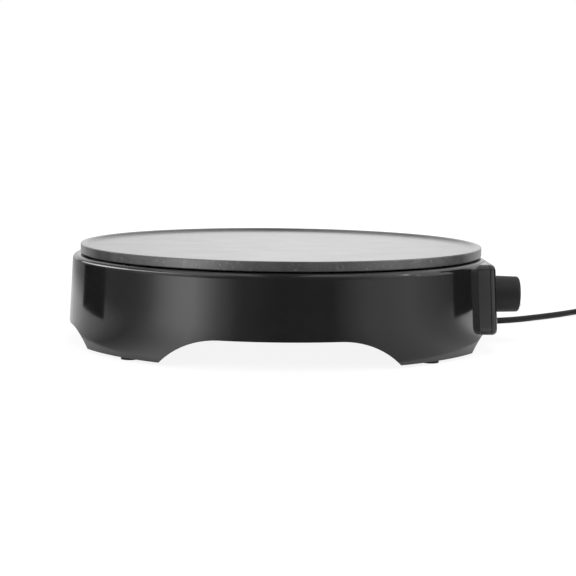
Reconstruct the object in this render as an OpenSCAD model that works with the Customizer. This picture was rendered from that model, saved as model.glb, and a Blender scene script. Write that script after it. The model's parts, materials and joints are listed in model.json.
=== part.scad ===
// Electric crepe maker. A round cast baking plate sits on a moulded housing with an arched skirt,
// four feet and a flat control box with a thermostat knob. Millimetres. The origin is at the level of
// the table, under the middle of the object without its cord. +Z is up and +X points at the knob.

/* [Baking plate] */
// Outside diameter of the baking plate
plate_d = 300; // [270:5:340]
// Height of the plate's outer wall
plate_wall_h = 6.9; // [6:0.1:9]
// Drop from the top of the rim to the cooking surface
rim_drop = 2; // [1:0.25:3]
// Width of the rim's flat top
rim_w = 1.6; // [1:0.1:3]
// Width of the slope from the rim down to the cooking surface
rim_slope_w = 3; // [2:0.5:5]
// Radius of the plate's outer edges
plate_edge_r = 0.8; // [0.4:0.1:1.2]
// Width of a rib under the plate
rib_w = 2; // [1.5:0.25:3]
// Depth of the ribs under the plate
rib_h = 4; // [3:0.5:5]
// Distance from the plate's edge to its locating ring
locating_inset = 29; // [27:1:32]
// Height of the plate's screw bosses
plate_boss_h = 8; // [7:0.5:9]
// Diameter of the plate's screw bosses
plate_boss_d = 12; // [10:1:14]
// Distance of the plate's screws from its axis
plate_screw_pcd_r = 70; // [65:1:74]

/* [Housing] */
// How far the housing's foot reaches past the plate's edge
base_overhang = 9; // [8:0.5:14]
// Height from the skirt's lower edge to the top of the rim
skirt_h = 61.6; // [60:0.2:68]
// Lean of the skirt, in degrees
draft = 3.17; // [2:0.1:4]
// Radius of the rounded shoulder
shoulder_r = 4; // [3:0.25:5]
// Wall thickness of the housing
wall = 3; // [2.5:0.25:3.5]
// Gap between the rim and the plate
plate_gap = 0.8; // [0.5:0.1:1.5]
// How far the rim reaches in under the plate's edge
rim_reach = 3; // [2:0.5:5]
// Drop from the rim to the ring round the basin
ring_drop = 3.1; // [2.5:0.1:5]
// Distance from the plate's edge to the basin's mouth
basin_inset = 22; // [20:1:24]
// How much narrower the basin is at its floor
basin_taper = 4; // [2:0.5:5]
// Depth of the basin below the rim
basin_depth = 16.1; // [15.5:0.1:17]
// Height of the towers that carry the plate
tower_h = 5.5; // [5:0.25:6]
// Diameter of those towers
tower_d = 14; // [12:1:16]
// Radius of the arches' round ends
arch_r = 55; // [45:1:60]
// Rise of the front and back arches above the skirt's edge
front_arch_rise = 17.6; // [12:0.2:17.6]
// Half width of the front and back arches at the skirt's edge
front_arch_half = 80.2; // [70:0.2:84]
// Rise of the side arches above the skirt's edge
side_arch_rise = 12; // [8:0.5:12]
// Half width of the side arches at the skirt's edge
side_arch_half = 84.7; // [76:0.1:88]
// Thickness of the pads inside the feet
pad_t = 2.5; // [2:0.25:3]
// Width of those pads, in from the skirt
pad_w = 24; // [20:1:28]

/* [Control box] */
// Width of the control box
box_w = 140; // [120:2:150]
// Height of the control box's floor above the table
box_floor_z = 12; // [12:0.5:14]
// Drop from the rim to the top of the control box
box_top_drop = 1.1; // [0.8:0.1:2]
// Radius of the control box's corners
box_corner_r = 6; // [4:0.5:8]
// How far the control face stands inside the skirt's foot circle
face_cut = 3.7; // [2:0.1:6]
// Thickness of the fascia
fascia_t = 4.4; // [3.5:0.1:5]
// Radius of the fascia's outer edge
fascia_edge_r = 3; // [2:0.25:3.25]
// Gap of the seam round the fascia
seam_gap = 0.4; // [0.2:0.1:0.6]
// Diameter of the fascia's location pegs
peg_d = 4; // [3:0.5:5]
// Length of those pegs
peg_l = 7; // [5:0.5:9]
// Diameter of the pilot lamp's lens
lens_d = 8; // [6:0.5:10]
// Distance of the pilot lamp from the knob's axis
lens_y = 38; // [32:1:46]

/* [Knob] */
// Diameter of the knob at its foot
knob_d = 28; // [26:0.5:34]
// Diameter of the knob at its end
knob_end_d = 26.8; // [25:0.2:32]
// Length of the knob
knob_l = 25.6; // [24:0.2:30]
// Height of the knob's axis above the table
knob_z = 34; // [34:0.5:36]
// Wall thickness of the knob
knob_wall = 2; // [1.6:0.1:2.6]
// Diameter of the thermostat's shaft
shaft_d = 6; // [5:0.5:6]
// Distance from the shaft's axis to its flat
shaft_flat = 1.8; // [1.4:0.1:2]
// Distance between the thermostat's two screws
thermostat_screw_w = 20; // [18:1:20]
// Size of the thermostat's body from back to front
thermostat_l = 22; // [20:1:24]
// Size of the thermostat's body from side to side
thermostat_w = 26; // [24:1:30]
// Height of the thermostat's body
thermostat_h = 19; // [16:1:19]

/* [Heating] */
// Diameter of the tubular heating element
tube_d = 6.5; // [6:0.1:6.5]
// Distance from the plate's edge to the element's ring
element_inset = 52; // [50:1:54]
// Half angle of the gap between the element's ends
element_gap_a = 12; // [10:1:16]
// Thickness of the heat reflector
reflector_t = 0.6; // [0.5:0.1:1]
// Distance from the plate's edge to the reflector's rim
reflector_inset = 30; // [29:1:34]
// Diameter of the thermostat's sensor bulb
bulb_d = 5; // [4:0.5:5]
// Length of the sensor bulb
bulb_l = 60; // [50:5:70]

/* [Underside] */
// Thickness of the bottom cover
cover_t = 2; // [1.5:0.25:2.5]
// Clearance between the bottom cover and the skirt
cover_gap = 0.5; // [0.3:0.1:1]
// Distance of the cover's screws from the axis
cover_screw_r = 112; // [108:1:114]
// How far the rubber feet stand below the skirt
rubber_h = 2; // [1.5:0.25:3]
// Diameter of the rubber feet
rubber_d = 12; // [10:1:14]
// Distance of the rubber feet from the skirt's foot circle
rubber_inset = 8; // [7.5:0.5:14]
// Angle of the feet from the front and back, in degrees
rubber_a = 42.5; // [42:0.5:46]

/* [Cord and plug] */
// Diameter of the mains cord
cord_d = 5; // [4.5:0.25:5]
// Turns in the coil of cord
coil_turns = 4.5; // [2.5:1:6.5]
// Distance between the coil's turns and between its layers
coil_pitch = 5.6; // [5.6:0.1:6.5]
// Diameter at the middle of the coil's turns
coil_mean_d = 55; // [50:1:60]
// Length of the strain relief outside the housing
relief_l = 26; // [20:1:32]
// Diameter of the plug's body
plug_d = 39; // [38:0.5:41]
// Height of the plug's front part
plug_face_h = 16; // [14:0.5:18]
// Diameter of the plug's pins
pin_d = 4.8; // [4:0.2:5]
// Length of the plug's pins
pin_l = 19; // [17:0.5:20]
// Distance between the plug's pins
pin_gap = 19; // [18:0.5:20]

/* [Fits] */
// Running clearance of the shaft in its bore, on the radius
run_fit = 0.05; // [0.02:0.01:0.1]
// Clearance between parts that are pushed together, on the radius
push_fit = 0.1; // [0.05:0.05:0.2]
// Clearance of a screw in a through hole, on the radius
hole_fit = 0.25; // [0.2:0.05:0.4]
// Gap under a part that is clamped or laid on another
seat_gap = 0.05; // [0.02:0.01:0.1]
// Gap between the knob and the collar behind it
knob_gap = 0.6; // [0.4:0.1:1]

/* [Hidden] */
$fn = 96;
eps = 0.01;

// Heights
rim_z = rubber_h + skirt_h;
plate_z = rim_z + plate_gap;
top_z = plate_z + plate_wall_h;
cook_z = top_z - rim_drop;
ring_z = rim_z - ring_drop;
floor_z = rim_z - basin_depth;
floor_under_z = floor_z - wall;
tower_z = floor_z + tower_h;
cover_z = rubber_h + max(front_arch_rise, side_arch_rise) + 0.6;
pad_top_z = rubber_h + pad_t;
cover_top_z = cover_z + cover_t;
box_top_z = rim_z - box_top_drop;

// Radii
plate_r = plate_d / 2;
base_r = plate_r + base_overhang;
basin_r = plate_r - basin_inset;
basin_floor_r = basin_r - basin_taper;
rim_inner_r = plate_r - rim_reach;
locating_r = plate_r - locating_inset;
element_r = plate_r - element_inset;
reflector_r = plate_r - reflector_inset;
tube_r = tube_d / 2;
shaft_r = shaft_d / 2;
cord_r = cord_d / 2;
rubber_r = base_r - rubber_inset;

// Skirt and control face lean in together as they rise
function wall_r(z) = base_r - (z - rubber_h) * tan(draft);
box_x = base_r - face_cut;
function face_x(z) = box_x - (z - rubber_h) * tan(draft);
function seam_x(z) = face_x(z) - fascia_t;

// Screws: shank and head, metric sizes
m3_r = 1.5;
m3_head_r = 2.75;
m3_head_h = 1.8;
m4_r = 2;
m4_head_r = 4;
m4_head_h = 2.4;

// Points of an arc about a centre, from one angle to another
function arc(centre, r, from, to, steps = 8) =
    [for (i = [0:steps]) let (a = from + (to - from) * i / steps) centre + r * [cos(a), sin(a)]];

// Point at a distance and an angle from the axis
function polar(r, a, z = 0) = [r * cos(a), r * sin(a), z];

function unit(v) = v / norm(v);
function across(t) = unit(cross(abs(t.z) < 0.9 ? [0, 0, 1] : [1, 0, 0], t));
function heading_at(p, i) = unit(i == 0 ? p[1] - p[0]
    : i == len(p) - 1 ? p[i] - p[i - 1] : unit(p[i + 1] - p[i]) + unit(p[i] - p[i - 1]));

// A direction across the path at each of its points, carried along without a twist
function sides_along(p, s, i = 0) = i == len(p) ? [] :
    let (t = heading_at(p, i), n = unit(s - (s * t) * t)) concat([n], sides_along(p, n, i + 1));

// A tube along a path, one ring of points at each of its points
module tube(path, r, sides) {
    rings = len(path);
    side = sides_along(path, across(heading_at(path, 0)));
    points = [for (i = [0:rings - 1]) let (t = heading_at(path, i), u = cross(t, side[i]))
        for (k = [0:sides - 1]) let (a = 360 * (k + 0.5) / sides)
            path[i] + r * (cos(a) * side[i] + sin(a) * u)];
    walls = [for (i = [0:rings - 2], k = [0:sides - 1])
        let (a = i * sides + k, b = i * sides + (k + 1) % sides)
            each [[a, a + sides, b], [b, a + sides, b + sides]]];
    start = [for (k = [1:sides - 2]) [0, k, k + 1]];
    last = (rings - 1) * sides;
    end = [for (k = [1:sides - 2]) [last, last + k + 1, last + k]];
    polyhedron(points, concat(walls, start, end));
}

// A soft wire through a list of points, its bends rounded
wire_sides = 8;
wire_bend = 5;
bend_steps = 4;
function bend(p, i) = let (back = p[i - 1] - p[i], on = p[i + 1] - p[i],
    d = min(wire_bend, 0.45 * norm(back), 0.45 * norm(on)), a = p[i] + d * unit(back),
    b = p[i] + d * unit(on)) [for (k = [0:bend_steps]) let (t = k / bend_steps)
        (1 - t) * (1 - t) * a + 2 * t * (1 - t) * p[i] + t * t * b];
module wire(path, r)
    tube(concat([path[0]], [for (i = [1:len(path) - 2]) each bend(path, i)], [path[len(path) - 1]]),
        r, wire_sides);

// A cylinder along +X from one x to another
module bar_x(from, to, r, y = 0, z = 0)
    translate([from, y, z]) rotate([0, 90, 0]) cylinder(r = r, h = to - from);

// A rectangle with round corners, about its centre
module rounded(w, h, r) {
    square([w - 2 * r, h], center = true);
    square([w, h - 2 * r], center = true);
    for (x = [-1, 1], y = [-1, 1]) translate([x * (w / 2 - r), y * (h / 2 - r)]) circle(r);
}

// A flat bar with round ends and a hole at each end, along X
module strap(reach, w, t, hole_r) {
    linear_extrude(t) difference() {
        union() {
            square([2 * reach, w], center = true);
            for (x = [-reach, reach]) translate([x, 0]) circle(w / 2);
        }
        for (x = [-reach, reach]) translate([x, 0]) circle(hole_r);
    }
}

// A pan head screw that points up, the underside of its head at z = 0
module screw(r, length, head_r, head_h) {
    cylinder(r = r, h = length);
    difference() {
        translate([0, 0, -head_h]) cylinder(r = head_r, h = head_h);
        for (a = [0, 90]) rotate(a) cube([head_r, head_h / 3, head_h * 2.8], center = true);
    }
}

// ---- Housing ----

// The opening that an arch cuts in the skirt, seen from outside; y is the height above its edge
module arch_profile(half, rise) {
    flat = half - sqrt(2 * arch_r * rise - rise * rise);
    intersection() {
        union() {
            translate([-flat, rise - arch_r]) square([2 * flat, arch_r]);
            for (s = [-1, 1]) translate([s * flat, rise - arch_r]) circle(arch_r);
        }
        translate([-base_r, -rubber_h - 1]) square([2 * base_r, rise + rubber_h + 1]);
    }
}

module arches() {
    through_l = 2 * base_r + 10;
    translate([0, 0, rubber_h]) {
        rotate([90, 0, 0]) linear_extrude(through_l, center = true)
            arch_profile(front_arch_half, front_arch_rise);
        rotate([90, 0, 90]) linear_extrude(through_l, center = true)
            arch_profile(side_arch_half, side_arch_rise);
    }
}

// Skirt, rounded shoulder, ring and basin in one section
module shell_section() {
    shoulder_z = rim_z - shoulder_r;
    shoulder_c = [wall_r(shoulder_z) - shoulder_r * cos(draft), shoulder_z];
    under_z = ring_z - wall;
    polygon(concat(
        [[base_r, rubber_h]],
        arc(shoulder_c, shoulder_r, draft, 90),
        [[rim_inner_r, rim_z], [rim_inner_r, ring_z], [basin_r, ring_z],
            [basin_floor_r, floor_z], [0, floor_z], [0, floor_under_z],
            [basin_floor_r + wall, floor_under_z], [basin_r + wall, under_z],
            [wall_r(under_z) - wall, under_z], [wall_r(pad_top_z) - wall, pad_top_z],
            [base_r - pad_w, pad_top_z], [base_r - pad_w, rubber_h]]));
}

// Everything outside the control face, as wide as the control box
module beyond_face(width, back = 0) {
    rotate([90, 0, 0]) linear_extrude(width, center = true)
        polygon([[seam_x(0) - back, 0], [seam_x(top_z) - back, top_z],
            [base_r + 20, top_z], [base_r + 20, 0]]);
}

// Outline of the control box across its width, drawn in by an inset
module box_outline(inset = 0) {
    translate([0, (box_floor_z + box_top_z) / 2])
        rounded(box_w - 2 * inset, box_top_z - box_floor_z - 2 * inset,
            max(1, box_corner_r - inset));
}

module box_prism(from_x, inset = 0)
    translate([from_x, 0, 0]) rotate([90, 0, 90]) linear_extrude(base_r + 10 - from_x)
        box_outline(inset);

// Where the fascia's pegs go, as [y, z]
peg_inset = box_corner_r + 2;
peg_spots = [for (y = [-1, 1], z = [box_floor_z + peg_inset, box_top_z - peg_inset])
    [y * (box_w / 2 - peg_inset), z]];
peg_boss_r = peg_d / 2 + 2;
lip_l = 2;
basin_outer_r = basin_r + wall;
box_back_x = basin_outer_r + 0.5;
cover_screw_angles = [45, 135, 225, 315];
cover_screw_l = 10;
plate_screw_angles = [60, 180, 300];
grommet_x = 50;
grommet_r = 6;
element_end = polar(element_r, element_gap_a);
element_bush_r = tube_r + 2.5;

// Towers for the plate, bosses for the cover's screws and for the fascia's pegs
module shell_bosses() {
    peg_back = peg_l + 6;
    for (a = plate_screw_angles) translate(polar(plate_screw_pcd_r, a, floor_z - eps))
        cylinder(d = tower_d, h = tower_h + eps);
    for (a = cover_screw_angles) translate(polar(cover_screw_r, a, cover_top_z))
        cylinder(r = 4, h = floor_under_z - cover_top_z + eps);
    for (p = peg_spots) {
        side = sign(p[0]) * (box_w / 2 - 1);
        bar_x(seam_x(p[1]) - peg_back, seam_x(p[1]) - lip_l - 0.6, peg_boss_r, p[0], p[1]);
        translate([seam_x(p[1]) - peg_back, min(p[0], side), p[1] - 1])
            cube([peg_back - lip_l - 0.6, abs(side - p[0]), 2]);
    }
}

module shell_holes() {
    for (a = plate_screw_angles) translate(polar(plate_screw_pcd_r, a)) {
        cylinder(r = m4_r + hole_fit, h = tower_z + 1);
        cylinder(r = m4_head_r + 0.5, h = floor_under_z + m4_head_h + 0.2);
    }
    for (a = cover_screw_angles) translate(polar(cover_screw_r, a, cover_top_z - 1))
        cylinder(r = m3_r + 0.02, h = 11);
    for (s = [-1, 1]) translate([element_end.x, s * element_end.y, floor_under_z - 1])
        cylinder(r = element_bush_r + push_fit, h = wall + 2);
    translate([grommet_x, 0, floor_under_z - 1]) cylinder(r = grommet_r + push_fit, h = wall + 2);
    for (p = peg_spots) bar_x(seam_x(p[1]) - peg_l - 0.5, base_r, peg_d / 2 + push_fit, p[0], p[1]);
    for (a = rubber_angles) translate(polar(rubber_r, a))
        cylinder(r = rubber_stem_r + push_fit, h = pad_top_z + 1);
    for (s = [-1, 1]) translate([block_x, block_y + s * block_screw_w / 2, floor_under_z - 1])
        cylinder(r = m3_r + 0.02, h = 3.2);
}

// The control box as one block outside the skirt's inner wall, and across above and below it
module control_block() difference() {
    box_prism(box_back_x - wall);
    translate([0, 0, cover_z])
        cylinder(r = wall_r(ring_z) - wall / 2, h = ring_z - wall - cover_z);
}

module base_shell() color("#1d1c1d") in_frame() difference() {
    union() {
        difference() {
            union() {
                difference() {
                    rotate_extrude() shell_section();
                    arches();
                }
                control_block();
            }
            box_prism(box_back_x, wall);
        }
        shell_bosses();
    }
    shell_holes();
    beyond_face(box_w + 1);
}

// ---- Underside ----

rubber_stem_r = 3;
rubber_angles = [for (side = [-90, 90], s = [-1, 1]) side + s * rubber_a];

module rubber_feet() color("#151515") in_frame()
    for (a = rubber_angles) translate(polar(rubber_r, a)) {
        cylinder(d = rubber_d, h = rubber_h);
        cylinder(r = rubber_stem_r, h = rubber_h + pad_t + seat_gap);
        translate([0, 0, rubber_h + pad_t + seat_gap])
            cylinder(r1 = rubber_stem_r + 1, r2 = rubber_stem_r - 1, h = 2);
    }

// The pod under the cover, where the cord comes out: its front wall, sides and floor
pod_x = 88;
pod_y = 56;
pod_l = 28;
pod_w = 24;
pod_wall = 2.4;
pod_z = 3.5;
cord_exit_z = 10;

cover_rib_rs = [30, 90];
cover_rib_w = 2;
cover_rib_h = 1;
vent_l = 28;
vent_w = 3;
vent_pitch = 9;
vent_row_y = 60;

module bottom_cover() color("#222224") in_frame() difference() {
    union() {
        translate([0, 0, cover_z]) cylinder(r = wall_r(cover_z) - wall - cover_gap, h = cover_t);
        translate([pod_x - pod_l, pod_y - pod_w / 2, pod_z]) cube([pod_l, pod_w, cover_z - pod_z + eps]);
        for (r = cover_rib_rs) translate([0, 0, cover_z - cover_rib_h]) difference() {
            cylinder(r = r + cover_rib_w / 2, h = cover_rib_h + eps);
            translate([0, 0, -1]) cylinder(r = r - cover_rib_w / 2, h = cover_rib_h + 2);
        }
    }
    translate([pod_x - pod_l + pod_wall, pod_y - pod_w / 2 + pod_wall, pod_z + pod_wall])
        cube([pod_l - 2 * pod_wall, pod_w - 2 * pod_wall, cover_top_z]);
    bar_x(pod_x - pod_wall - 1, pod_x + 1, relief_neck_r + push_fit, pod_y, cord_exit_z);
    // The control box and the foot of its floor
    translate([box_back_x - wall - cover_gap, -box_w / 2 - cover_gap, 0])
        cube([base_r, box_w + 2 * cover_gap, cover_top_z + 1]);
    for (a = cover_screw_angles) translate(polar(cover_screw_r, a, 0)) {
        cylinder(r = m3_r + hole_fit, h = cover_top_z + 1);
    }
    // Vent slots in rows on both sides of the centre
    for (row = [-1, 1], i = [-4:4])
        translate([i * vent_pitch - vent_w / 2, row * vent_row_y - vent_l / 2, cover_z - 2])
            cube([vent_w, vent_l, cover_t + 4]);
}

module cover_screws() color("silver") in_frame()
    for (a = cover_screw_angles) translate(polar(cover_screw_r, a, cover_z))
        screw(m3_r, cover_screw_l, m3_head_r, m3_head_h);

// ---- Baking plate ----

clip_angles = [45, 135, 225, 315];
clip_reach = tube_r + rib_w + 5;
clip_boss_h = tube_d + 0.1;
clip_w = 8;
clip_t = 1.2;
strap_reach = 8;
sensor_x = 26;
fuse_x = -18;

module plate_section() {
    slope_end = plate_r - rim_w - rim_slope_w;
    polygon(concat(
        [[0, plate_z], [plate_r - plate_edge_r, plate_z]],
        arc([plate_r - plate_edge_r, plate_z + plate_edge_r], plate_edge_r, -60, 0, 4),
        arc([plate_r - plate_edge_r, top_z - plate_edge_r], plate_edge_r, 0, 90, 4),
        [[plate_r - rim_w, top_z], [plate_r - rim_w - 1, top_z - 0.3 * rim_drop]],
        [[slope_end + 1, cook_z + 0.15 * rim_drop], [slope_end, cook_z], [0, cook_z]]));
}

module ring_under(r, w, h) translate([0, 0, plate_z - h]) difference() {
    cylinder(r = r + w / 2, h = h + eps);
    translate([0, 0, -1]) cylinder(r = r - w / 2, h = h + 1);
}

module baking_plate() color("#3f3f41") in_frame() difference() {
    union() {
        rotate_extrude() plate_section();
        ring_under(locating_r - 1.5, 3, rib_h + 0.5);
        for (s = [-1, 1]) ring_under(element_r + s * (tube_r + 0.2 + rib_w / 2), rib_w, rib_h);
        for (a = plate_screw_angles) translate(polar(plate_screw_pcd_r, a, plate_z - plate_boss_h))
            cylinder(d = plate_boss_d, h = plate_boss_h + eps);
        for (a = clip_angles, s = [-1, 1])
            translate(polar(element_r + s * clip_reach, a, plate_z - clip_boss_h))
                cylinder(r = 3.5, h = clip_boss_h + eps);
    }
    for (a = plate_screw_angles) translate(polar(plate_screw_pcd_r, a, plate_z - plate_boss_h - 1))
        cylinder(r = m4_r + 0.02, h = plate_boss_h + 1);
    for (a = clip_angles, s = [-1, 1])
        translate(polar(element_r + s * clip_reach, a, plate_z - clip_boss_h - 1))
            cylinder(r = m3_r + 0.02, h = clip_boss_h);
    for (x = [sensor_x, fuse_x], s = [-1, 1]) translate([x + s * strap_reach, 0, plate_z - 1])
        cylinder(r = m3_r + 0.02, h = 3.5);
}

module plate_screws() color("silver") in_frame()
    for (a = plate_screw_angles)
        translate(polar(plate_screw_pcd_r, a, floor_under_z + m4_head_h + 0.2))
            screw(m4_r, plate_z - floor_under_z - m4_head_h - 2, m4_head_r, m4_head_h);

module plate_bushes() color("white") in_frame()
    for (a = plate_screw_angles) translate(polar(plate_screw_pcd_r, a, tower_z + reflector_t))
        difference() {
            cylinder(d = plate_boss_d, h = plate_z - plate_boss_h - tower_z - reflector_t);
            translate([0, 0, -1]) cylinder(r = m4_r + hole_fit, h = plate_wall_h + 6);
        }

// ---- Heating ----

element_z = plate_z - tube_r - seat_gap;
leg_r = tube_r + 0.15;
element_foot_z = floor_under_z - 8;

module heating_element() color("#5a5a5c") in_frame() {
    translate([0, 0, element_z]) rotate(element_gap_a)
        rotate_extrude(angle = 360 - 2 * element_gap_a) translate([element_r, 0]) circle(tube_r);
    for (s = [-1, 1]) translate([element_end.x, s * element_end.y, element_foot_z])
        cylinder(r = leg_r, h = element_z + tube_r - 0.1 - element_foot_z);
}

module element_bushes() color("white") in_frame()
    for (s = [-1, 1]) translate([element_end.x, s * element_end.y, 0]) difference() {
        union() {
            translate([0, 0, floor_under_z]) cylinder(r = element_bush_r, h = wall + 1);
            translate([0, 0, floor_under_z - 1.5]) cylinder(r = element_bush_r + 1.5, h = 1.5);
        }
        cylinder(r = leg_r + push_fit, h = rim_z);
    }

module element_tabs() color("silver") in_frame()
    for (s = [-1, 1]) translate([element_end.x, s * element_end.y, element_foot_z]) {
        translate([0, 0, -2]) cylinder(r = 1.4, h = 2);
        translate([-3.15, -0.4, -8]) cube([6.3, 0.8, 6.5]);
    }

module element_clips() color("silver") in_frame()
    for (a = clip_angles) rotate(a)
        translate([element_r, 0, plate_z - clip_boss_h - clip_t])
            strap(clip_reach, clip_w, clip_t, m3_r + hole_fit);

module element_clip_screws() color("silver") in_frame()
    for (a = clip_angles, s = [-1, 1])
        translate(polar(element_r + s * clip_reach, a, plate_z - clip_boss_h - clip_t))
            screw(m3_r, 6, m3_head_r, m3_head_h);

module heat_reflector() color("#b9bcc0") in_frame() difference() {
    translate([0, 0, tower_z]) rotate_extrude() polygon([[0, 0], [reflector_r, 0],
        [reflector_r + 1, 4], [reflector_r + 1 - reflector_t, 4],
        [reflector_r - reflector_t, reflector_t], [0, reflector_t]]);
    for (a = plate_screw_angles) translate(polar(plate_screw_pcd_r, a))
        cylinder(r = m4_r + hole_fit, h = rim_z);
    for (s = [-1, 1]) translate([element_end.x, s * element_end.y, 0])
        cylinder(r = tube_r + 2, h = rim_z);
    translate([grommet_x, 0, 0]) cylinder(r = grommet_r + 2, h = rim_z);
}

// ---- Sensor, fuse and their clips ----

bulb_z = plate_z - bulb_d / 2 - seat_gap;
fuse_r = 2;
sleeve_r = 2.5;
sleeve_l = 26;
fuse_z = plate_z - sleeve_r - seat_gap;

module sensor_bulb() color("#c98a5a") in_frame()
    translate([sensor_x, -bulb_l / 2, bulb_z]) rotate([-90, 0, 0]) cylinder(d = bulb_d, h = bulb_l);

// A hat clip under the plate that holds a round part up against it
module hat_clip(x, inner_r) {
    t = 0.8;
    drop = 2 * inner_r + 2 * seat_gap;
    in = inner_r + 0.15;
    translate([x, 0, plate_z]) difference() {
        union() {
            for (s = [-1, 1]) translate([s > 0 ? in : -strap_reach - 4, -5, -t])
                cube([strap_reach + 4 - in, 10, t]);
            for (s = [-1, 1]) translate([s > 0 ? in : -in - t, -5, -drop - t]) cube([t, 10, drop + t]);
            translate([-in, -5, -drop - t]) cube([2 * in, 10, t]);
        }
        for (s = [-1, 1]) translate([s * strap_reach, 0, -3]) cylinder(r = m3_r + hole_fit, h = 6);
    }
}

module sensor_clip() color("silver") in_frame() hat_clip(sensor_x, bulb_d / 2);
module fuse_clip() color("silver") in_frame() hat_clip(fuse_x, sleeve_r);

module clip_screws() color("silver") in_frame()
    for (x = [sensor_x, fuse_x], s = [-1, 1])
        translate([x + s * strap_reach, 0, plate_z - 0.8]) screw(m3_r, 3, m3_head_r, m3_head_h);

module thermal_fuse() color("#d8c9a8") in_frame()
    translate([fuse_x, -7, plate_z - sleeve_r - seat_gap]) rotate([-90, 0, 0]) cylinder(r = fuse_r, h = 14);

module fuse_sleeve() color("#e9e4da") in_frame()
    translate([fuse_x, -sleeve_l / 2, plate_z - sleeve_r - seat_gap]) rotate([-90, 0, 0])
        difference() {
            cylinder(r = sleeve_r, h = sleeve_l);
            translate([0, 0, -1]) cylinder(r = fuse_r + push_fit / 2, h = sleeve_l + 2);
        }

module wire_grommet() color("#141414") in_frame() translate([grommet_x, 0, 0]) difference() {
    union() {
        translate([0, 0, floor_under_z]) cylinder(r = grommet_r, h = wall + 0.8);
        translate([0, 0, floor_under_z - 1]) cylinder(r = grommet_r + 1.2, h = 1);
        translate([0, 0, floor_z]) cylinder(r = grommet_r + 1.2, h = 1);
    }
    cylinder(r = grommet_r - 1.2, h = rim_z);
}

capillary_r = 0.8;

module capillary_tube() color("#c98a5a") in_frame() wire([
    [sensor_x, bulb_l / 2, bulb_z],
    [sensor_x, bulb_l / 2 + 6, bulb_z],
    [grommet_x - 6, bulb_l / 2, tower_z + 5],
    [grommet_x, 3, tower_z + 3],
    [grommet_x, 3, knob_z + 6],
    [thermostat_back_x - 20, 6, knob_z],
    [thermostat_back_x, 6, knob_z]], capillary_r);

// ---- Thermostat and knob ----

collar_proud = 1.5;
collar_x = face_x(knob_z) + collar_proud;
mount_x = seam_x(knob_z) - 3;
plate_t = 1.2;
thermostat_back_x = mount_x - plate_t - thermostat_l;
shaft_end_x = collar_x + knob_gap + 17;
shaft_start_x = mount_x - 12;
bore_start_x = shaft_start_x - 0.5;
bore_r = shaft_r + run_fit;

module thermostat_body() color("#e6dfd2") in_frame() difference() {
    translate([thermostat_back_x, -thermostat_w / 2, knob_z - thermostat_h / 2])
        cube([thermostat_l, thermostat_w, thermostat_h]);
    bar_x(bore_start_x, mount_x, bore_r, 0, knob_z);
    for (s = [-1, 1]) bar_x(mount_x - 9, mount_x, m3_r + 0.02, s * thermostat_screw_w / 2, knob_z);
    bar_x(thermostat_back_x - 1, thermostat_back_x + 2, capillary_r + push_fit, 6, knob_z);
}

module thermostat_plate() color("silver") in_frame() difference() {
    translate([mount_x - plate_t, -thermostat_w / 2 - 3, knob_z - thermostat_h / 2 - 0.5])
        cube([plate_t, thermostat_w + 6, thermostat_h + 1]);
    bar_x(mount_x - 5, mount_x + 1, shaft_r + 1, 0, knob_z);
    for (s = [-1, 1]) bar_x(mount_x - 5, mount_x + 1, m3_r + hole_fit, s * thermostat_screw_w / 2, knob_z);
}

module thermostat_screws() color("silver") in_frame()
    for (s = [-1, 1]) translate([collar_x - m3_head_h, s * thermostat_screw_w / 2, knob_z])
        rotate([0, -90, 0]) screw(m3_r, collar_x - m3_head_h - mount_x + 8, m3_head_r, m3_head_h - 0.1);

tab_y = 8;

module thermostat_tabs() color("silver") in_frame()
    for (s = [-1, 1]) translate([thermostat_back_x - 8, s * tab_y - 0.4 - (s > 0 ? -2.6 : 0), knob_z - 7])
        cube([8, 0.8, 5]);

module thermostat_shaft() color("silver") in_frame() difference() {
    bar_x(shaft_start_x, shaft_end_x, shaft_r, 0, knob_z);
    translate([collar_x + knob_gap + 1, -shaft_r - 1, knob_z + shaft_flat])
        cube([40, 2 * shaft_r + 2, shaft_r]);
}

knob_x = collar_x + knob_gap;
knob_end_x = knob_x + knob_l;

// Lengths here are measured from the plate's axis; the frame's origin lies under the middle of the
// object without its cord
frame_x = (knob_end_x - wall_r(rubber_h + side_arch_rise)) / 2;
module in_frame() translate([-frame_x, 0, 0]) children();
echo(frame_x = frame_x);
hub_r = shaft_r + 3;
spring_t = 0.5;
spring_play = 0.04;

module knob_section() {
    edge = 2;
    edge_turn = 75;
    crown = 0.6;
    foot_bevel = 0.5;
    r0 = knob_d / 2;
    r1 = knob_end_d / 2;
    polygon(concat([[0, 0], [r0 - foot_bevel, 0], [r0, foot_bevel]],
        arc([r1 - edge, knob_l - edge - crown], edge, 0, edge_turn, 6),
        [[r1 * 0.5, knob_l - 0.15], [0, knob_l]]));
}

module knob_cavity_section() {
    r0 = knob_d / 2 - knob_wall;
    r1 = knob_end_d / 2 - knob_wall;
    end_t = 3.6;
    polygon([[hub_r, -1], [r0, -1], [r1, knob_l - end_t], [hub_r, knob_l - end_t]]);
}

knob_rib_t = 1.2;
knob_rib_foot = 4;

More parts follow.
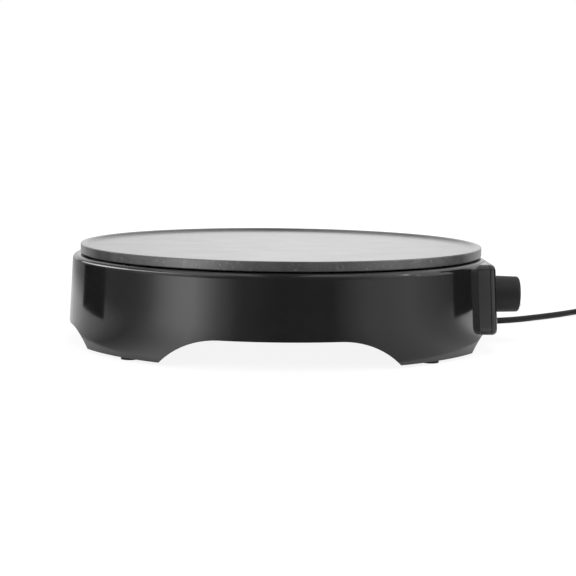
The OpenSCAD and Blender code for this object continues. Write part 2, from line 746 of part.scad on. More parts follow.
module knob() color("#2b2a2b") in_frame() difference() {
    translate([knob_x, 0, knob_z]) rotate([0, 90, 0]) {
        difference() {
            rotate_extrude() knob_section();
            rotate_extrude() knob_cavity_section();
            translate([0, 0, -1]) cylinder(r = hub_r + eps, h = 2);
        }
        for (a = [45, 135]) rotate(a) difference() {
            translate([-knob_end_d / 2 + 1, -knob_rib_t / 2, knob_rib_foot])
                cube([knob_end_d - 2, knob_rib_t, knob_l - knob_rib_foot - 3]);
            cylinder(r = hub_r - eps, h = knob_l);
        }
    }
    intersection() {
        bar_x(knob_x, shaft_end_x + 0.5, shaft_r + 0.02, 0, knob_z);
        translate([knob_x - 1, -10, knob_z - 10])
            cube([knob_l, 20, 10 + shaft_flat + spring_t + 2 * spring_play]);
    }
}

module knob_spring() color("silver") in_frame()
    translate([knob_x + 2, -1.5, knob_z + shaft_flat + spring_play]) cube([13, 3, spring_t]);

// ---- Control face ----

lens_r = lens_d / 2;

// The fascia's own frame: its outer face upright, leaning with the skirt
module on_face() translate([box_x, 0, rubber_h]) rotate([0, -draft, 0]) children();

module fascia_slab(depth, inset, thick = 0.05) {
    lift = (fascia_t * sin(draft) - rubber_h) / cos(draft);
    on_face() translate([-depth, 0, lift]) rotate([90, 0, 90]) linear_extrude(thick)
        box_outline(inset, $fn = 32);
}

module control_fascia() color("#201f20") in_frame() difference() {
    union() {
        hull() {
            fascia_slab(fascia_t - seam_gap, 0, fascia_t - seam_gap - fascia_edge_r);
            for (a = [30, 60, 90])
                fascia_slab(fascia_edge_r * (1 - sin(a)) + 0.05, fascia_edge_r * (1 - cos(a)));
        }
        fascia_spigot();
        bar_x(face_x(knob_z) - 2, collar_x, knob_d / 2 + 2.5, 0, knob_z);
        translate([mount_x, -thermostat_w / 2 - 3, knob_z - thermostat_h / 2 - 1])
            cube([5, thermostat_w + 6, thermostat_h + 2]);
        for (p = peg_spots) bar_x(seam_x(p[1]) - peg_l, seam_x(p[1]) + 2, peg_d / 2, p[0], p[1]);
    }
    bar_x(mount_x - 1, base_r, shaft_r + 1, 0, knob_z);
    bar_x(mount_x - 1, base_r, lens_r + push_fit, -lens_y, knob_z);
    for (s = [-1, 1]) {
        bar_x(mount_x - 1, base_r, m3_r + hole_fit, s * thermostat_screw_w / 2, knob_z);
        bar_x(collar_x - m3_head_h - 0.1, base_r, m3_head_r + 0.2, s * thermostat_screw_w / 2, knob_z);
    }
}

// A low lip behind the fascia that fits inside the control box
module fascia_spigot() {
    lip_w = 1.6;
    intersection() {
        difference() {
            box_prism(box_back_x, wall + push_fit);
            box_prism(box_back_x - 1, wall + push_fit + lip_w);
        }
        difference() {
            beyond_face(box_w, lip_l);
            beyond_face(box_w, -seam_gap - 1);
        }
    }
}

module pilot_lens() color("#d8572a") in_frame() {
    front = face_x(knob_z) + 0.4;
    back = mount_x + 1;
    edge_h = 0.6;
    edge_w = 1.2;
    bar_x(back, front - edge_h, lens_r, -lens_y, knob_z);
    translate([front - edge_h, -lens_y, knob_z]) rotate([0, 90, 0])
        cylinder(r1 = lens_r, r2 = lens_r - edge_w, h = edge_h);
    bar_x(back - 1, back, lens_r + 1, -lens_y, knob_z);
}

module pilot_lamp() color("#f0ead8") in_frame() {
    back = mount_x;
    lamp_l = 10;
    pin_l = 6;
    bar_x(back - lamp_l, back, lens_r + 0.6, -lens_y, knob_z);
    for (s = [-1, 1])
        bar_x(back - lamp_l - pin_l, back - lamp_l, 1.2, -lens_y + 2 * s, knob_z);
}

// ---- Wiring ----

block_x = 46;
block_y = pod_y;
block_l = 16;
block_w = 30;
block_h = 11;
block_screw_w = 22;
block_z = floor_under_z - block_h;
wire_r = 1.1;
core_y = [-8, 0, 8];

module terminal_block() color("#efe9dc") in_frame() difference() {
    translate([block_x - block_l / 2, block_y - block_w / 2, block_z]) cube([block_l, block_w, block_h]);
    for (y = core_y) bar_x(block_x - block_l, block_x + block_l, wire_r + push_fit,
        block_y + y, block_z + 4);
    for (s = [-1, 1]) translate([block_x, block_y + s * block_screw_w / 2, block_z - 1])
        cylinder(r = m3_r + hole_fit, h = block_h + 2);
    for (s = [-1, 1]) translate([block_x, block_y + s * block_screw_w / 2, block_z - 1])
        cylinder(r = m3_head_r + 0.2, h = block_h - 5 + 1);
}

module terminal_screws() color("silver") in_frame()
    for (s = [-1, 1]) translate([block_x, block_y + s * block_screw_w / 2, block_z + block_h - 5])
        screw(m3_r, 7, m3_head_r, m3_head_h);

core_z = block_z + 4;
core_r = 0.95;
jacket_end = [pod_x - 18, pod_y, cord_exit_z];
core_spread = [[0, -1, -0.57], [0, 0, 1.15], [0, 1, -0.57]];
core_turn = [4, 1.8, 4];

// A cord core from the jacket's end, up and out to its terminal
function core_path(i) = let (from = jacket_end + core_spread[i], turn = from - [core_turn[i], 0, 0])
    [from, turn, turn + [0, 0, 11], [block_x + block_l / 2 + 6, block_y + core_y[i], core_z],
        [block_x + 3, block_y + core_y[i], core_z]];

// Where wires meet the tabs, and how far they run straight from there
lead = 6;
tab_x = thermostat_back_x - 8;
tab_out_y = tab_y + 2.6;
low_z = cover_top_z + 2.6;
lamp_pin_x = mount_x - 16;
element_tab_z = element_foot_z - 5;

module live_wires() color("#7a3b1e") in_frame() {
    wire(core_path(0), core_r);
    // Terminal to thermostat
    wire([[block_x - 3, block_y - 8, core_z], [block_x - 16, block_y - 8, core_z],
        [block_x - 16, -40, core_z - 2], [tab_x - 22, -tab_y - 2, low_z + 1],
        [tab_x - lead, -tab_y, knob_z - 4.5], [tab_x, -tab_y, knob_z - 4.5]], wire_r);
    // Thermostat to fuse
    wire([[tab_x, tab_out_y, knob_z - 3.2], [tab_x - lead, tab_out_y, knob_z - 3.2],
        [grommet_x + 10, -2.5, knob_z - 4], [grommet_x, -2.5, knob_z + 2],
        [grommet_x, -2.5, tower_z + 3], [fuse_x + 6, -24, tower_z + 4], [fuse_x, -18, fuse_z],
        [fuse_x, -7, fuse_z]], wire_r);
    // Fuse to element
    wire([[fuse_x, 7, fuse_z], [fuse_x, 18, fuse_z], [fuse_x + 14, 22, tower_z + 4],
        [grommet_x - 2.4, 0.3, tower_z + 3], [grommet_x - 2.4, 0.3, knob_z + 8],
        [grommet_x - 4, -12, knob_z + 2],
        [element_end.x - 16, -element_end.y, element_tab_z],
        [element_end.x - 3.2, -element_end.y, element_tab_z]], wire_r);
    // Thermostat to pilot lamp
    wire([[tab_x, tab_out_y, knob_z - 5.8], [tab_x - lead - 1, tab_out_y, knob_z - 5.8],
        [tab_x - 10, 0, low_z], [tab_x - 10, -lens_y - 2, low_z], [lamp_pin_x - 12, -lens_y - 2, knob_z - 4],
        [lamp_pin_x - lead, -lens_y - 2, knob_z], [lamp_pin_x, -lens_y - 2, knob_z]], wire_r);
}

module neutral_wires() color("#2f5fa8") in_frame() {
    wire(core_path(1), core_r);
    // Terminal to element
    wire([[block_x - 3, block_y, core_z], [block_x - 12, block_y, core_z],
        [block_x - 12, block_y - 4, core_z - 7.5], [block_x - 12, 34, core_z - 7.5],
        [element_end.x - 20, element_end.y, element_tab_z],
        [element_end.x - 3.2, element_end.y, element_tab_z]], wire_r);
    // Element to pilot lamp
    wire([[element_end.x + 3.2, element_end.y, element_tab_z - 1],
        [element_end.x + 10, element_end.y, element_tab_z - 1], [tab_x - 3, 12, low_z],
        [tab_x - 3, -lens_y + 8, low_z], [lamp_pin_x - 12, -lens_y + 2, knob_z - 4],
        [lamp_pin_x - lead, -lens_y + 2, knob_z], [lamp_pin_x, -lens_y + 2, knob_z]], wire_r);
}

earth_angle = 180;

module earth_wire() color("#7ba23f") in_frame() {
    tag = polar(plate_screw_pcd_r, earth_angle, floor_under_z);
    crimp_x = tag.x + 8;
    crimp_z = floor_under_z - wire_r - 0.8;
    wire(core_path(2), core_r);
    wire([[block_x - 3, block_y + 8, core_z], [block_x - 20, block_y + 8, core_z],
        [-38, 30, core_z], [crimp_x + 8, 0, crimp_z], [crimp_x + 4, 0, crimp_z]], wire_r);
    bar_x(crimp_x, crimp_x + 5, wire_r + 0.5, 0, crimp_z);
    translate([tag.x, tag.y, floor_under_z - 0.8]) difference() {
        union() {
            cylinder(r = 6.5, h = 0.8);
            translate([0, -2, 0]) cube([crimp_x - tag.x + 1.5, 4, 0.8]);
        }
        translate([0, 0, -1]) cylinder(r = m4_head_r + 0.6, h = 3);
    }
}

// ---- Cord ----

relief_neck_r = 3.3;
relief_root_r = 5.4;
relief_tip_r = 3.4;
cord_start = [pod_x + relief_l, pod_y, cord_exit_z];

// Section of a tapered sleeve with flex ribs, as [radius, distance from its root]
relief_ribs = 7;
function relief_section(length, root_r, tip_r) =
    let (step = length / relief_ribs, fall = (tip_r - root_r) / (relief_ribs - 1))
        [for (i = [0:relief_ribs - 1]) let (r = root_r + fall * i)
            each [[r, i * step], [r - 0.2, (i + 0.62) * step], [r - 1, (i + 0.66) * step],
                [r - 1, (i + 1) * step]]];

// The sleeve, its neck through the pod's wall, its flange inside and the end of the cord's jacket
module strain_relief() color("#161616") in_frame() {
    flange_r = relief_neck_r + 0.7;
    neck = pod_wall + push_fit;
    translate([pod_x, pod_y, cord_exit_z]) rotate([0, 90, 0]) rotate_extrude()
        polygon(concat(
            [[0, jacket_end.x - pod_x], [cord_r, jacket_end.x - pod_x], [cord_r, -neck - 2],
                [flange_r, -neck - 2], [flange_r, -neck], [relief_neck_r, -neck],
                [relief_neck_r, 0]],
            relief_section(relief_l, relief_root_r, relief_tip_r), [[0, relief_l]]));
}

clamp_x = pod_x - pod_wall - 11;

module cord_clamp() color("#2a2a2a") in_frame() difference() {
    union() {
        translate([clamp_x - 3, pod_y - 9, cord_exit_z + cord_r + seat_gap]) cube([6, 18, 2.5]);
        for (s = [-1, 1]) translate([clamp_x, pod_y + s * 6.4, pod_z + pod_wall])
            cylinder(r = 2.6, h = cord_exit_z + cord_r + seat_gap - pod_z - pod_wall + eps);
    }
    for (s = [-1, 1]) translate([clamp_x, pod_y + s * 6.4, pod_z + pod_wall + 1])
        cylinder(r = m3_r + 0.02, h = 20);
}

module clamp_screws() color("silver") in_frame()
    for (s = [-1, 1]) translate([clamp_x, pod_y + s * 6.4, cord_exit_z + cord_r + seat_gap + 2.5])
        mirror([0, 0, 1]) screw(m3_r, 7, m3_head_r - 0.3, m3_head_h);

// The cord's route on the table, chosen by hand, from the strain relief to the coil
coil_start = [270, 146.8, 3.5];
route = [cord_start, [119, 56, 10], [130, 57, 7.8], [142, 60.5, 4.8], [154, 66, 3.1], [166, 72, 2.6],
    [178, 77.5, 2.5], [190, 83, 2.5], [201, 90, 2.5], [211, 98, 2.5], [221, 106, 2.5],
    [231, 114, 2.6], [241, 122, 2.8], [251, 130.5, 3.1], [261, 139, 3.4], coil_start];
coil_heading = 41;
coil_lead = 12;
coil_tail = 24;
coil_layer = coil_pitch;
half_turns = coil_turns / 2;
coil_outer_r = coil_mean_d / 2 + coil_pitch * half_turns / 2;
coil_c = coil_start + coil_lead * [cos(coil_heading), sin(coil_heading), 0]
    + coil_outer_r * [sin(coil_heading), -cos(coil_heading), 0];
coil_start_a = coil_heading + 90;
coil_end_heading = coil_heading - 360 * coil_turns;
rings_a_turn = 24;

// Two flat spirals: in on the lower layer and out again on the upper one
function coil_r(t) = coil_outer_r - coil_pitch * (half_turns - abs(half_turns - t));
function rise(u) = let (v = min(1, max(0, u))) v * v * (3 - 2 * v);
function coil_z(t) = coil_start.z + coil_layer * rise((t - half_turns + 0.25) / 0.5);
function coil_point(t) = [coil_c.x, coil_c.y, 0] + polar(coil_r(t), coil_start_a - 360 * t, coil_z(t));
plug_heading = [cos(coil_end_heading), sin(coil_end_heading), 0];
coil_end = coil_point(coil_turns) + coil_tail * plug_heading;
coil_path = concat([coil_start, coil_start + (coil_lead - 6) * [cos(coil_heading), sin(coil_heading), 0]],
    [for (i = [0:rings_a_turn * coil_turns]) coil_point(i / rings_a_turn)],
    [coil_end - cord_d * plug_heading, coil_end]);

// Length of a path, and the least gap between stretches of it that lie at least half a turn apart
function path_length(p) = let (steps = [for (i = [1:len(p) - 1]) norm(p[i] - p[i - 1])])
    steps * [for (s = steps) 1];
function least_gap(p, apart) = min([for (i = [0:len(p) - apart - 1], j = [i + apart:len(p) - 1])
    norm(p[i] - p[j])]) - cord_d;

module cord() color("#191919") in_frame() tube(route, cord_r, 10);
module cord_coil() color("#191919") in_frame() tube(coil_path, cord_r, 6);

echo(coil_gap = least_gap(coil_path, rings_a_turn / 2));
echo(cord_length = path_length(route) + path_length(coil_path));

// A strap round the coil, half a turn from where the cord comes in
tie_a = coil_start_a - 180 + 90;
tie_w = 8;
tie_t = 0.8;

module cord_tie() color("#101010") in_frame() {
    in_r = coil_outer_r - coil_pitch * half_turns - cord_r - 0.3;
    out_r = coil_outer_r + cord_r + 0.3;
    low = coil_start.z - cord_r - 0.1;
    high = coil_start.z + coil_layer + cord_r + 0.2;
    translate([coil_c.x, coil_c.y, 0]) rotate(tie_a)
        translate([(in_r + out_r) / 2, 0, (low + high) / 2]) rotate([90, 0, 0])
            linear_extrude(tie_w, center = true) difference() {
                rounded(out_r - in_r + 2 * tie_t, high - low + 2 * tie_t, 2.4);
                rounded(out_r - in_r, high - low, 1.6);
            }
}

// ---- Plug: it lies on its back, with its pins up ----

plug_relief_l = 26;
plug_axis_z = coil_end.z;
plug_back_h = 2 * plug_axis_z;
plug_c = coil_end + (plug_relief_l + plug_d / 2 - 2) * plug_heading;
plug_front_z = plug_back_h + plug_face_h;
plug_face_d = plug_d - 2;

// The plug's own frame: the cord comes in along +X
module on_plug() translate([plug_c.x, plug_c.y, 0]) rotate(coil_end_heading) children();

module plug_relief() color("#161616") in_frame()
    translate(coil_end) rotate(coil_end_heading) rotate([0, 90, 0]) rotate_extrude()
        polygon(concat([[0, plug_relief_l], [0, 0]],
            relief_section(plug_relief_l, relief_tip_r, relief_root_r)));

module plug_body() color("#181818") in_frame() on_plug() difference() {
    union() {
        rotate_extrude() polygon(concat([[0, 0]], arc([plug_d / 2 - 2, 2], 2, -90, 0, 4),
            arc([plug_d / 2 - 1.5, plug_back_h - 1.5], 1.5, 0, 90, 4),
            [[plug_face_d / 2, plug_back_h], [plug_face_d / 2, plug_front_z - 0.6],
                [plug_face_d / 2 - 0.6, plug_front_z], [0, plug_front_z]]));
        translate([-plug_d / 2 - 0.5, 0, plug_axis_z]) bar_x(-0.5, 8, relief_root_r + 1.2);
    }
    translate([-plug_d / 2 - 5, 0, plug_axis_z]) bar_x(-10, 7, relief_root_r + push_fit);
    for (s = [-1, 1]) translate([0, s * pin_gap / 2, plug_front_z - pin_root_l])
        cylinder(r = pin_root_r + push_fit / 2, h = pin_root_l + 1);
    translate([10, 0, plug_front_z - 12]) cylinder(d = pin_d + 0.2, h = 13);
    for (s = [-1, 1]) translate([s * (plug_face_d / 2 - 0.5), 0, plug_back_h + plug_face_h / 2 + 1])
        cube([3.2, 7, plug_face_h], center = true);
}

pin_root_l = 5;
pin_root_r = pin_d / 2 - 0.5;

module plug_pins() color("silver") in_frame() on_plug()
    for (s = [-1, 1]) translate([0, s * pin_gap / 2, plug_front_z + seat_gap]) {
        translate([0, 0, -pin_root_l]) cylinder(r = pin_root_r, h = pin_root_l + 1);
        cylinder(d = pin_d, h = pin_l - 1);
        translate([0, 0, pin_l - 1]) cylinder(d1 = pin_d, d2 = pin_d - 1.6, h = 1);
    }

module plug_earth_strip() color("silver") in_frame() on_plug()
    for (s = [-1, 1]) translate([s * (plug_face_d / 2 - 1.4), 0, plug_back_h + plug_face_h / 2 + 0.8])
        cube([1, 5.6, plug_face_h - 2.6], center = true);

base_shell();
bottom_cover();
cover_screws();
rubber_feet();
baking_plate();
plate_screws();
plate_bushes();
heating_element();
element_bushes();
element_tabs();
element_clips();
element_clip_screws();
heat_reflector();
sensor_bulb();
sensor_clip();
capillary_tube();
thermal_fuse();
fuse_sleeve();
fuse_clip();
clip_screws();
wire_grommet();
thermostat_body();
thermostat_plate();
thermostat_screws();
thermostat_tabs();
thermostat_shaft();
knob();
knob_spring();
control_fascia();
pilot_lens();
pilot_lamp();
terminal_block();
terminal_screws();
live_wires();
neutral_wires();
earth_wire();
cord_clamp();
clamp_screws();
strain_relief();
cord();
cord_coil();
cord_tie();
plug_relief();
plug_body();
plug_pins();
plug_earth_strip();
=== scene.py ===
"""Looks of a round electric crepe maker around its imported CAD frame."""

import json
import logging
import math
from dataclasses import dataclass, field
from enum import Enum

import bpy
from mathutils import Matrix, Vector


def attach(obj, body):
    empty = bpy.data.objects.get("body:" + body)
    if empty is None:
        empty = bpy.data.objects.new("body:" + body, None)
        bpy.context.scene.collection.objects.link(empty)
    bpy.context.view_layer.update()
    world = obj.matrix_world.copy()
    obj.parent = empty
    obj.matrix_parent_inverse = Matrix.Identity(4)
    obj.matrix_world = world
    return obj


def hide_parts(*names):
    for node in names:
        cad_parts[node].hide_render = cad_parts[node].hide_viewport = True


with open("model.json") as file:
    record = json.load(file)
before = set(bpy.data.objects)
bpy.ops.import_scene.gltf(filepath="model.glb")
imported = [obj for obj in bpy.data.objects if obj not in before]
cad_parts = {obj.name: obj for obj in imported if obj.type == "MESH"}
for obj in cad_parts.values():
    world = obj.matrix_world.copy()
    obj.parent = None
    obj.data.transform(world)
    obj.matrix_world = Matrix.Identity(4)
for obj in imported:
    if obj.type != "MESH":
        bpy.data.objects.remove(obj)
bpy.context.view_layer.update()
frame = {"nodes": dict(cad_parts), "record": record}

log = logging.getLogger("crepe_maker")
MM = 0.001
# The plate's vertical axis. The frame's origin is under the middle of the whole object.
AXIS_X = -0.0114462


class Slot(str, Enum):
    """Material slots of the record, and one more for what is printed."""

    HOUSING = "gloss_housing"
    COVER = "black_cover"
    PLATE = "plate_coating"
    KNOB = "knob_plastic"
    RUBBER = "rubber"
    STEEL = "zinc_steel"
    ELEMENT = "element_steel"
    REFLECTOR = "reflector_steel"
    CERAMIC = "ceramic"
    COPPER = "copper"
    SLEEVE = "glass_sleeve"
    FUSE = "fuse_metal"
    LENS = "lens"
    LAMP = "lamp"
    WIRE_BROWN = "wire_brown"
    WIRE_BLUE = "wire_blue"
    WIRE_GREEN = "wire_green"
    CORD = "cord_black"
    PLUG = "plug_black"
    PINS = "pin_metal"
    PRINT = "white_print"


class Body(str, Enum):
    """CAD bodies that a piece can ride on."""

    BASE = "base"
    KNOB = "knob"


# ---- Sizes, as the CAD source has them ----


@dataclass(frozen=True)
class Viewpoint:
    """The photo's camera, fitted to the outlines of plate and skirt. Metres and radians."""

    distance: float = 1.008377
    height: float = 0.154832
    focal_px: float = 1336.76
    image_px: int = 576
    pitch: float = 0.116740
    roll: float = 0.0122015
    yaw: float = 0.0054870
    sensor_mm: float = 36.0
    sees_to: float = 60.0


@dataclass(frozen=True)
class Flex:
    """The mains cord: its route on the table and its coil, in millimetres and degrees."""

    diameter: float = 5.0
    route: tuple = (
        (114, 56, 10), (119, 56, 10), (130, 57, 7.8), (142, 60.5, 4.8), (154, 66, 3.1),
        (166, 72, 2.6), (178, 77.5, 2.5), (190, 83, 2.5), (201, 90, 2.5), (211, 98, 2.5),
        (221, 106, 2.5), (231, 114, 2.6), (241, 122, 2.8), (251, 130.5, 3.1), (261, 139, 3.4),
        (270, 146.8, 3.5),
    )
    heading: float = 41.0
    lead: float = 12.0
    lead_knot: float = 6.0
    tail: float = 24.0
    turns: float = 4.5
    climb_turns: float = 0.5
    pitch: float = 5.6
    mean_d: float = 55.0
    rings_a_turn: int = 24
    route_steps: int = 3

    def coil_points(self) -> list:
        """The coil's centreline: in on the lower layer and out on the upper one.

        Returns:
            A list of (x, y, z) in millimetres.
        """
        half = self.turns / 2
        outer = self.mean_d / 2 + self.pitch * half / 2
        h = math.radians(self.heading)
        x0, y0, z0 = self.route[-1]
        cx = x0 + self.lead * math.cos(h) + outer * math.sin(h)
        cy = y0 + self.lead * math.sin(h) - outer * math.cos(h)
        near = self.lead - self.lead_knot
        points = [(x0 + near * math.cos(h), y0 + near * math.sin(h), z0)]
        for i in range(int(self.rings_a_turn * self.turns) + 1):
            t = i / self.rings_a_turn
            r = outer - self.pitch * (half - abs(half - t))
            v = min(1.0, max(0.0, (t - half + self.climb_turns / 2) / self.climb_turns))
            z = z0 + self.pitch * v * v * (3 - 2 * v)
            a = h + math.pi / 2 - 2 * math.pi * t
            points.append((cx + r * math.cos(a), cy + r * math.sin(a), z))
        e = h - 2 * math.pi * self.turns
        ex, ey, ez = points[-1]
        for run in (self.tail - self.diameter, self.tail):
            points.append((ex + run * math.cos(e), ey + run * math.sin(e), ez))
        return points

    def centreline(self) -> list:
        """The whole centreline as a smooth, closely spaced path, in metres.

        Returns:
            A list of Vector.
        """
        axis = Vector((AXIS_X, 0, 0))
        knots = [Vector(p) * MM + axis for p in list(self.route) + self.coil_points()]
        path = []
        for i in range(len(knots) - 1):
            before, a = knots[max(i - 1, 0)], knots[i]
            b, after = knots[i + 1], knots[min(i + 2, len(knots) - 1)]
            steps = self.route_steps if i < len(self.route) else 1
            for k in range(steps):
                t = k / steps
                path.append(0.5 * (2 * a + (b - before) * t
                                   + (2 * before - 5 * a + 4 * b - after) * t * t
                                   + (3 * a - before - 3 * b + after) * t ** 3))
        return path + [knots[-1]]


@dataclass(frozen=True)
class Dial:
    """The knob's and the scale's print, in millimetres from the plate's axis and in degrees."""

    knob_z: float = 34.0
    knob_end_x: float = 181.23
    face_x: float = 153.527
    draft: float = 3.17
    scale_r: float = 19.4
    tick_l: float = 3.0
    tick_w: float = 0.9
    growth: float = 0.9
    print_t: float = 0.05
    print_stand: float = 0.6
    ticks: int = 10
    sweep: float = 270.0
    start: float = -135.0
    pointer_r: tuple = (5.0, 11.4)
    pointer_w: float = 1.4
    pointer_dx: tuple = (-0.6, -0.03)


# ---- Node trees ----


class Sheet:
    """Short calls to fill one node tree."""

    def __init__(self, tree: bpy.types.NodeTree) -> None:
        self.tree = tree

    def add(self, kind: str, settings: dict | None = None, **inputs) -> bpy.types.Node:
        """Adds a node.

        Args:
            kind: the node's type.
            settings: values of the node's own properties.
            inputs: values or output sockets for its inputs, by name with _ for a space.

        Returns:
            The node.
        """
        made = self.tree.nodes.new(kind)
        for name, value in (settings or {}).items():
            setattr(made, name, value)
        for name, value in inputs.items():
            self.put(made.inputs[name.replace("_", " ")], value)
        return made

    def put(self, socket: bpy.types.NodeSocket, value) -> None:
        """Links an output socket to an input, or sets the input's value."""
        if isinstance(value, bpy.types.NodeSocket):
            self.tree.links.new(value, socket)
        else:
            socket.default_value = value

    def math(self, operation: str, a, b=0.0) -> bpy.types.NodeSocket:
        """One arithmetic step on two values or sockets."""
        made = self.tree.nodes.new("ShaderNodeMath")
        made.operation = operation
        self.put(made.inputs[0], a)
        self.put(made.inputs[1], b)
        return made.outputs[0]

    def spread(self, value, low: float, high: float, to_low, to_high) -> bpy.types.NodeSocket:
        """Maps a value from one range to another, held inside it."""
        made = self.tree.nodes.new("ShaderNodeMapRange")
        for i, x in enumerate((value, low, high, to_low, to_high)):
            self.put(made.inputs[i], x)
        return made.outputs[0]

    def blend(self, share, a, b, mode: str = "MIX") -> bpy.types.NodeSocket:
        """Mixes two colours."""
        made = self.tree.nodes.new("ShaderNodeMix")
        made.data_type, made.blend_type = "RGBA", mode
        for name, x in (("Factor_Float", share), ("A_Color", a), ("B_Color", b)):
            self.put(next(s for s in made.inputs if s.identifier == name), x)
        return next(s for s in made.outputs if s.identifier == "Result_Color")


# Texture scales in cells per metre, or as a share of the finish's own scale
MOTTLE_SCALE = 9.0
CELL_SCALE = 0.6
WAVE_SCALE = 28.0
SPECK_SCALE = 420.0
CAST_SCALE = 430.0
PATCH_SCALE = 34.0
# How much the slow and the fine noise count, in the tone and in the roughness
TONE_SHARES = (0.65, 0.35)
SHEEN_SHARES = (0.7, 0.3)
SWING = (-1.0, 1.0)


class Effects:
    """Shader node groups that several finishes share."""

    def __init__(self) -> None:
        self.tone = self.make_tone()
        self.grain = self.make_grain()
        self.dust = self.make_dust()

    @staticmethod
    def group(name: str, inputs: dict, outputs: dict) -> tuple:
        """Makes an empty group with named sockets.

        Args:
            name: the group's name.
            inputs: socket name to (socket type, default).
            outputs: socket name to socket type.

        Returns:
            The tree, its Sheet, the input node's outputs and the output node's inputs.
        """
        tree = bpy.data.node_groups.new(name, "ShaderNodeTree")
        for key, (kind, default) in inputs.items():
            socket = tree.interface.new_socket(key, in_out="INPUT", socket_type=kind)
            socket.default_value = default
        for key, kind in outputs.items():
            tree.interface.new_socket(key, in_out="OUTPUT", socket_type=kind)
        s = Sheet(tree)
        return tree, s, s.add("NodeGroupInput").outputs, s.add("NodeGroupOutput").inputs

    def make_tone(self) -> bpy.types.NodeTree:
        """A colour that drifts slowly over the surface, with finer mottling in it."""
        tree, s, given, out = self.group("tone_drift", {
            "Color": ("NodeSocketColor", (0.5, 0.5, 0.5, 1)),
            "Amount": ("NodeSocketFloat", 0.1),
            "Scale": ("NodeSocketFloat", 20.0)}, {"Color": "NodeSocketColor"})
        where = s.add("ShaderNodeTexCoord").outputs["Object"]
        broad = s.add("ShaderNodeTexNoise", Vector=where, Scale=given["Scale"],
                      Detail=2.0).outputs["Fac"]
        fine_scale = s.math("MULTIPLY", given["Scale"], MOTTLE_SCALE)
        fine = s.add("ShaderNodeTexNoise", Vector=where, Scale=fine_scale,
                     Detail=3.0).outputs["Fac"]
        both = s.math("ADD", s.math("MULTIPLY", broad, TONE_SHARES[0]),
                      s.math("MULTIPLY", fine, TONE_SHARES[1]))
        drift = s.math("MULTIPLY", s.spread(both, 0.3, 0.7, *SWING), given["Amount"])
        gain = s.math("ADD", 1.0, drift)
        shade = s.add("ShaderNodeCombineColor", Red=gain, Green=gain, Blue=gain).outputs["Color"]
        s.put(out["Color"], s.blend(1.0, given["Color"], shade, "MULTIPLY"))
        return tree

    def make_grain(self) -> bpy.types.NodeTree:
        """Surface texture: a roughness that varies, and a relief of grain, pits and slow waves."""
        tree, s, given, out = self.group("surface_grain", {
            "Roughness": ("NodeSocketFloat", 0.5),
            "Variation": ("NodeSocketFloat", 0.1),
            "Grain": ("NodeSocketFloat", 900.0),
            "Pits": ("NodeSocketFloat", 0.0),
            "Wave": ("NodeSocketFloat", 0.0)},
            {"Roughness": "NodeSocketFloat", "Height": "NodeSocketFloat"})
        where = s.add("ShaderNodeTexCoord").outputs["Object"]
        fine = s.add("ShaderNodeTexNoise", Vector=where, Scale=given["Grain"], Detail=4.0,
                     Roughness=0.6).outputs["Fac"]
        cell_scale = s.math("MULTIPLY", given["Grain"], CELL_SCALE)
        cells = s.add("ShaderNodeTexVoronoi", {"feature": "SMOOTH_F1"}, Vector=where,
                      Scale=cell_scale).outputs["Distance"]
        wide = s.add("ShaderNodeTexNoise", Vector=where, Scale=WAVE_SCALE,
                     Detail=3.0).outputs["Fac"]
        rough_part = s.math("ADD", fine, s.math("MULTIPLY", cells, given["Pits"]))
        waves = s.math("MULTIPLY", wide, given["Wave"])
        s.put(out["Height"], s.math("ADD", rough_part, waves))
        both = s.math("ADD", s.math("MULTIPLY", wide, SHEEN_SHARES[0]),
                      s.math("MULTIPLY", fine, SHEEN_SHARES[1]))
        shift = s.math("MULTIPLY", s.spread(both, 0.35, 0.65, *SWING), given["Variation"])
        s.put(out["Roughness"], s.math("MULTIPLY", given["Roughness"], s.math("ADD", 1.0, shift)))
        return tree

    def make_dust(self) -> bpy.types.NodeTree:
        """A mask of fine dust and smears, for upward faces most."""
        tree, s, given, out = self.group("dust_film", {
            "Amount": ("NodeSocketFloat", 0.05), "Scale": ("NodeSocketFloat", 60.0)},
            {"Mask": "NodeSocketFloat"})
        where = s.add("ShaderNodeTexCoord").outputs["Object"]
        normal = s.add("ShaderNodeNewGeometry").outputs["Normal"]
        up = s.add("ShaderNodeSeparateXYZ", Vector=normal).outputs["Z"]
        film = s.add("ShaderNodeTexNoise", Vector=where, Scale=given["Scale"], Detail=6.0,
                     Roughness=0.7).outputs["Fac"]
        specks = s.add("ShaderNodeTexVoronoi", Vector=where, Scale=SPECK_SCALE).outputs["Distance"]
        mask = s.math("ADD", s.spread(film, 0.45, 0.75, 0.0, 1.0),
                      s.spread(specks, 0.05, 0.12, 0.8, 0.0))
        level = s.math("MULTIPLY", given["Amount"], s.spread(up, 0.1, 0.9, 0.35, 1.0))
        s.put(out["Mask"], s.math("MULTIPLY", mask, level))
        return tree


DUST_COLOR, DUST_ROUGHNESS = (0.42, 0.4, 0.37, 1), 0.6
# Painted glints: the colour of the bright specks that stand in for sparkle on the plate's cast
# sides
CAST_GLINT_COLOR = (0.16, 0.16, 0.165, 1)
# The control box's side walls begin between these x, and are satin
WALL_X = (0.118, 0.122)
WALL_COLOR, WALL_ROUGHNESS = (0.026, 0.0255, 0.027, 1), 0.4


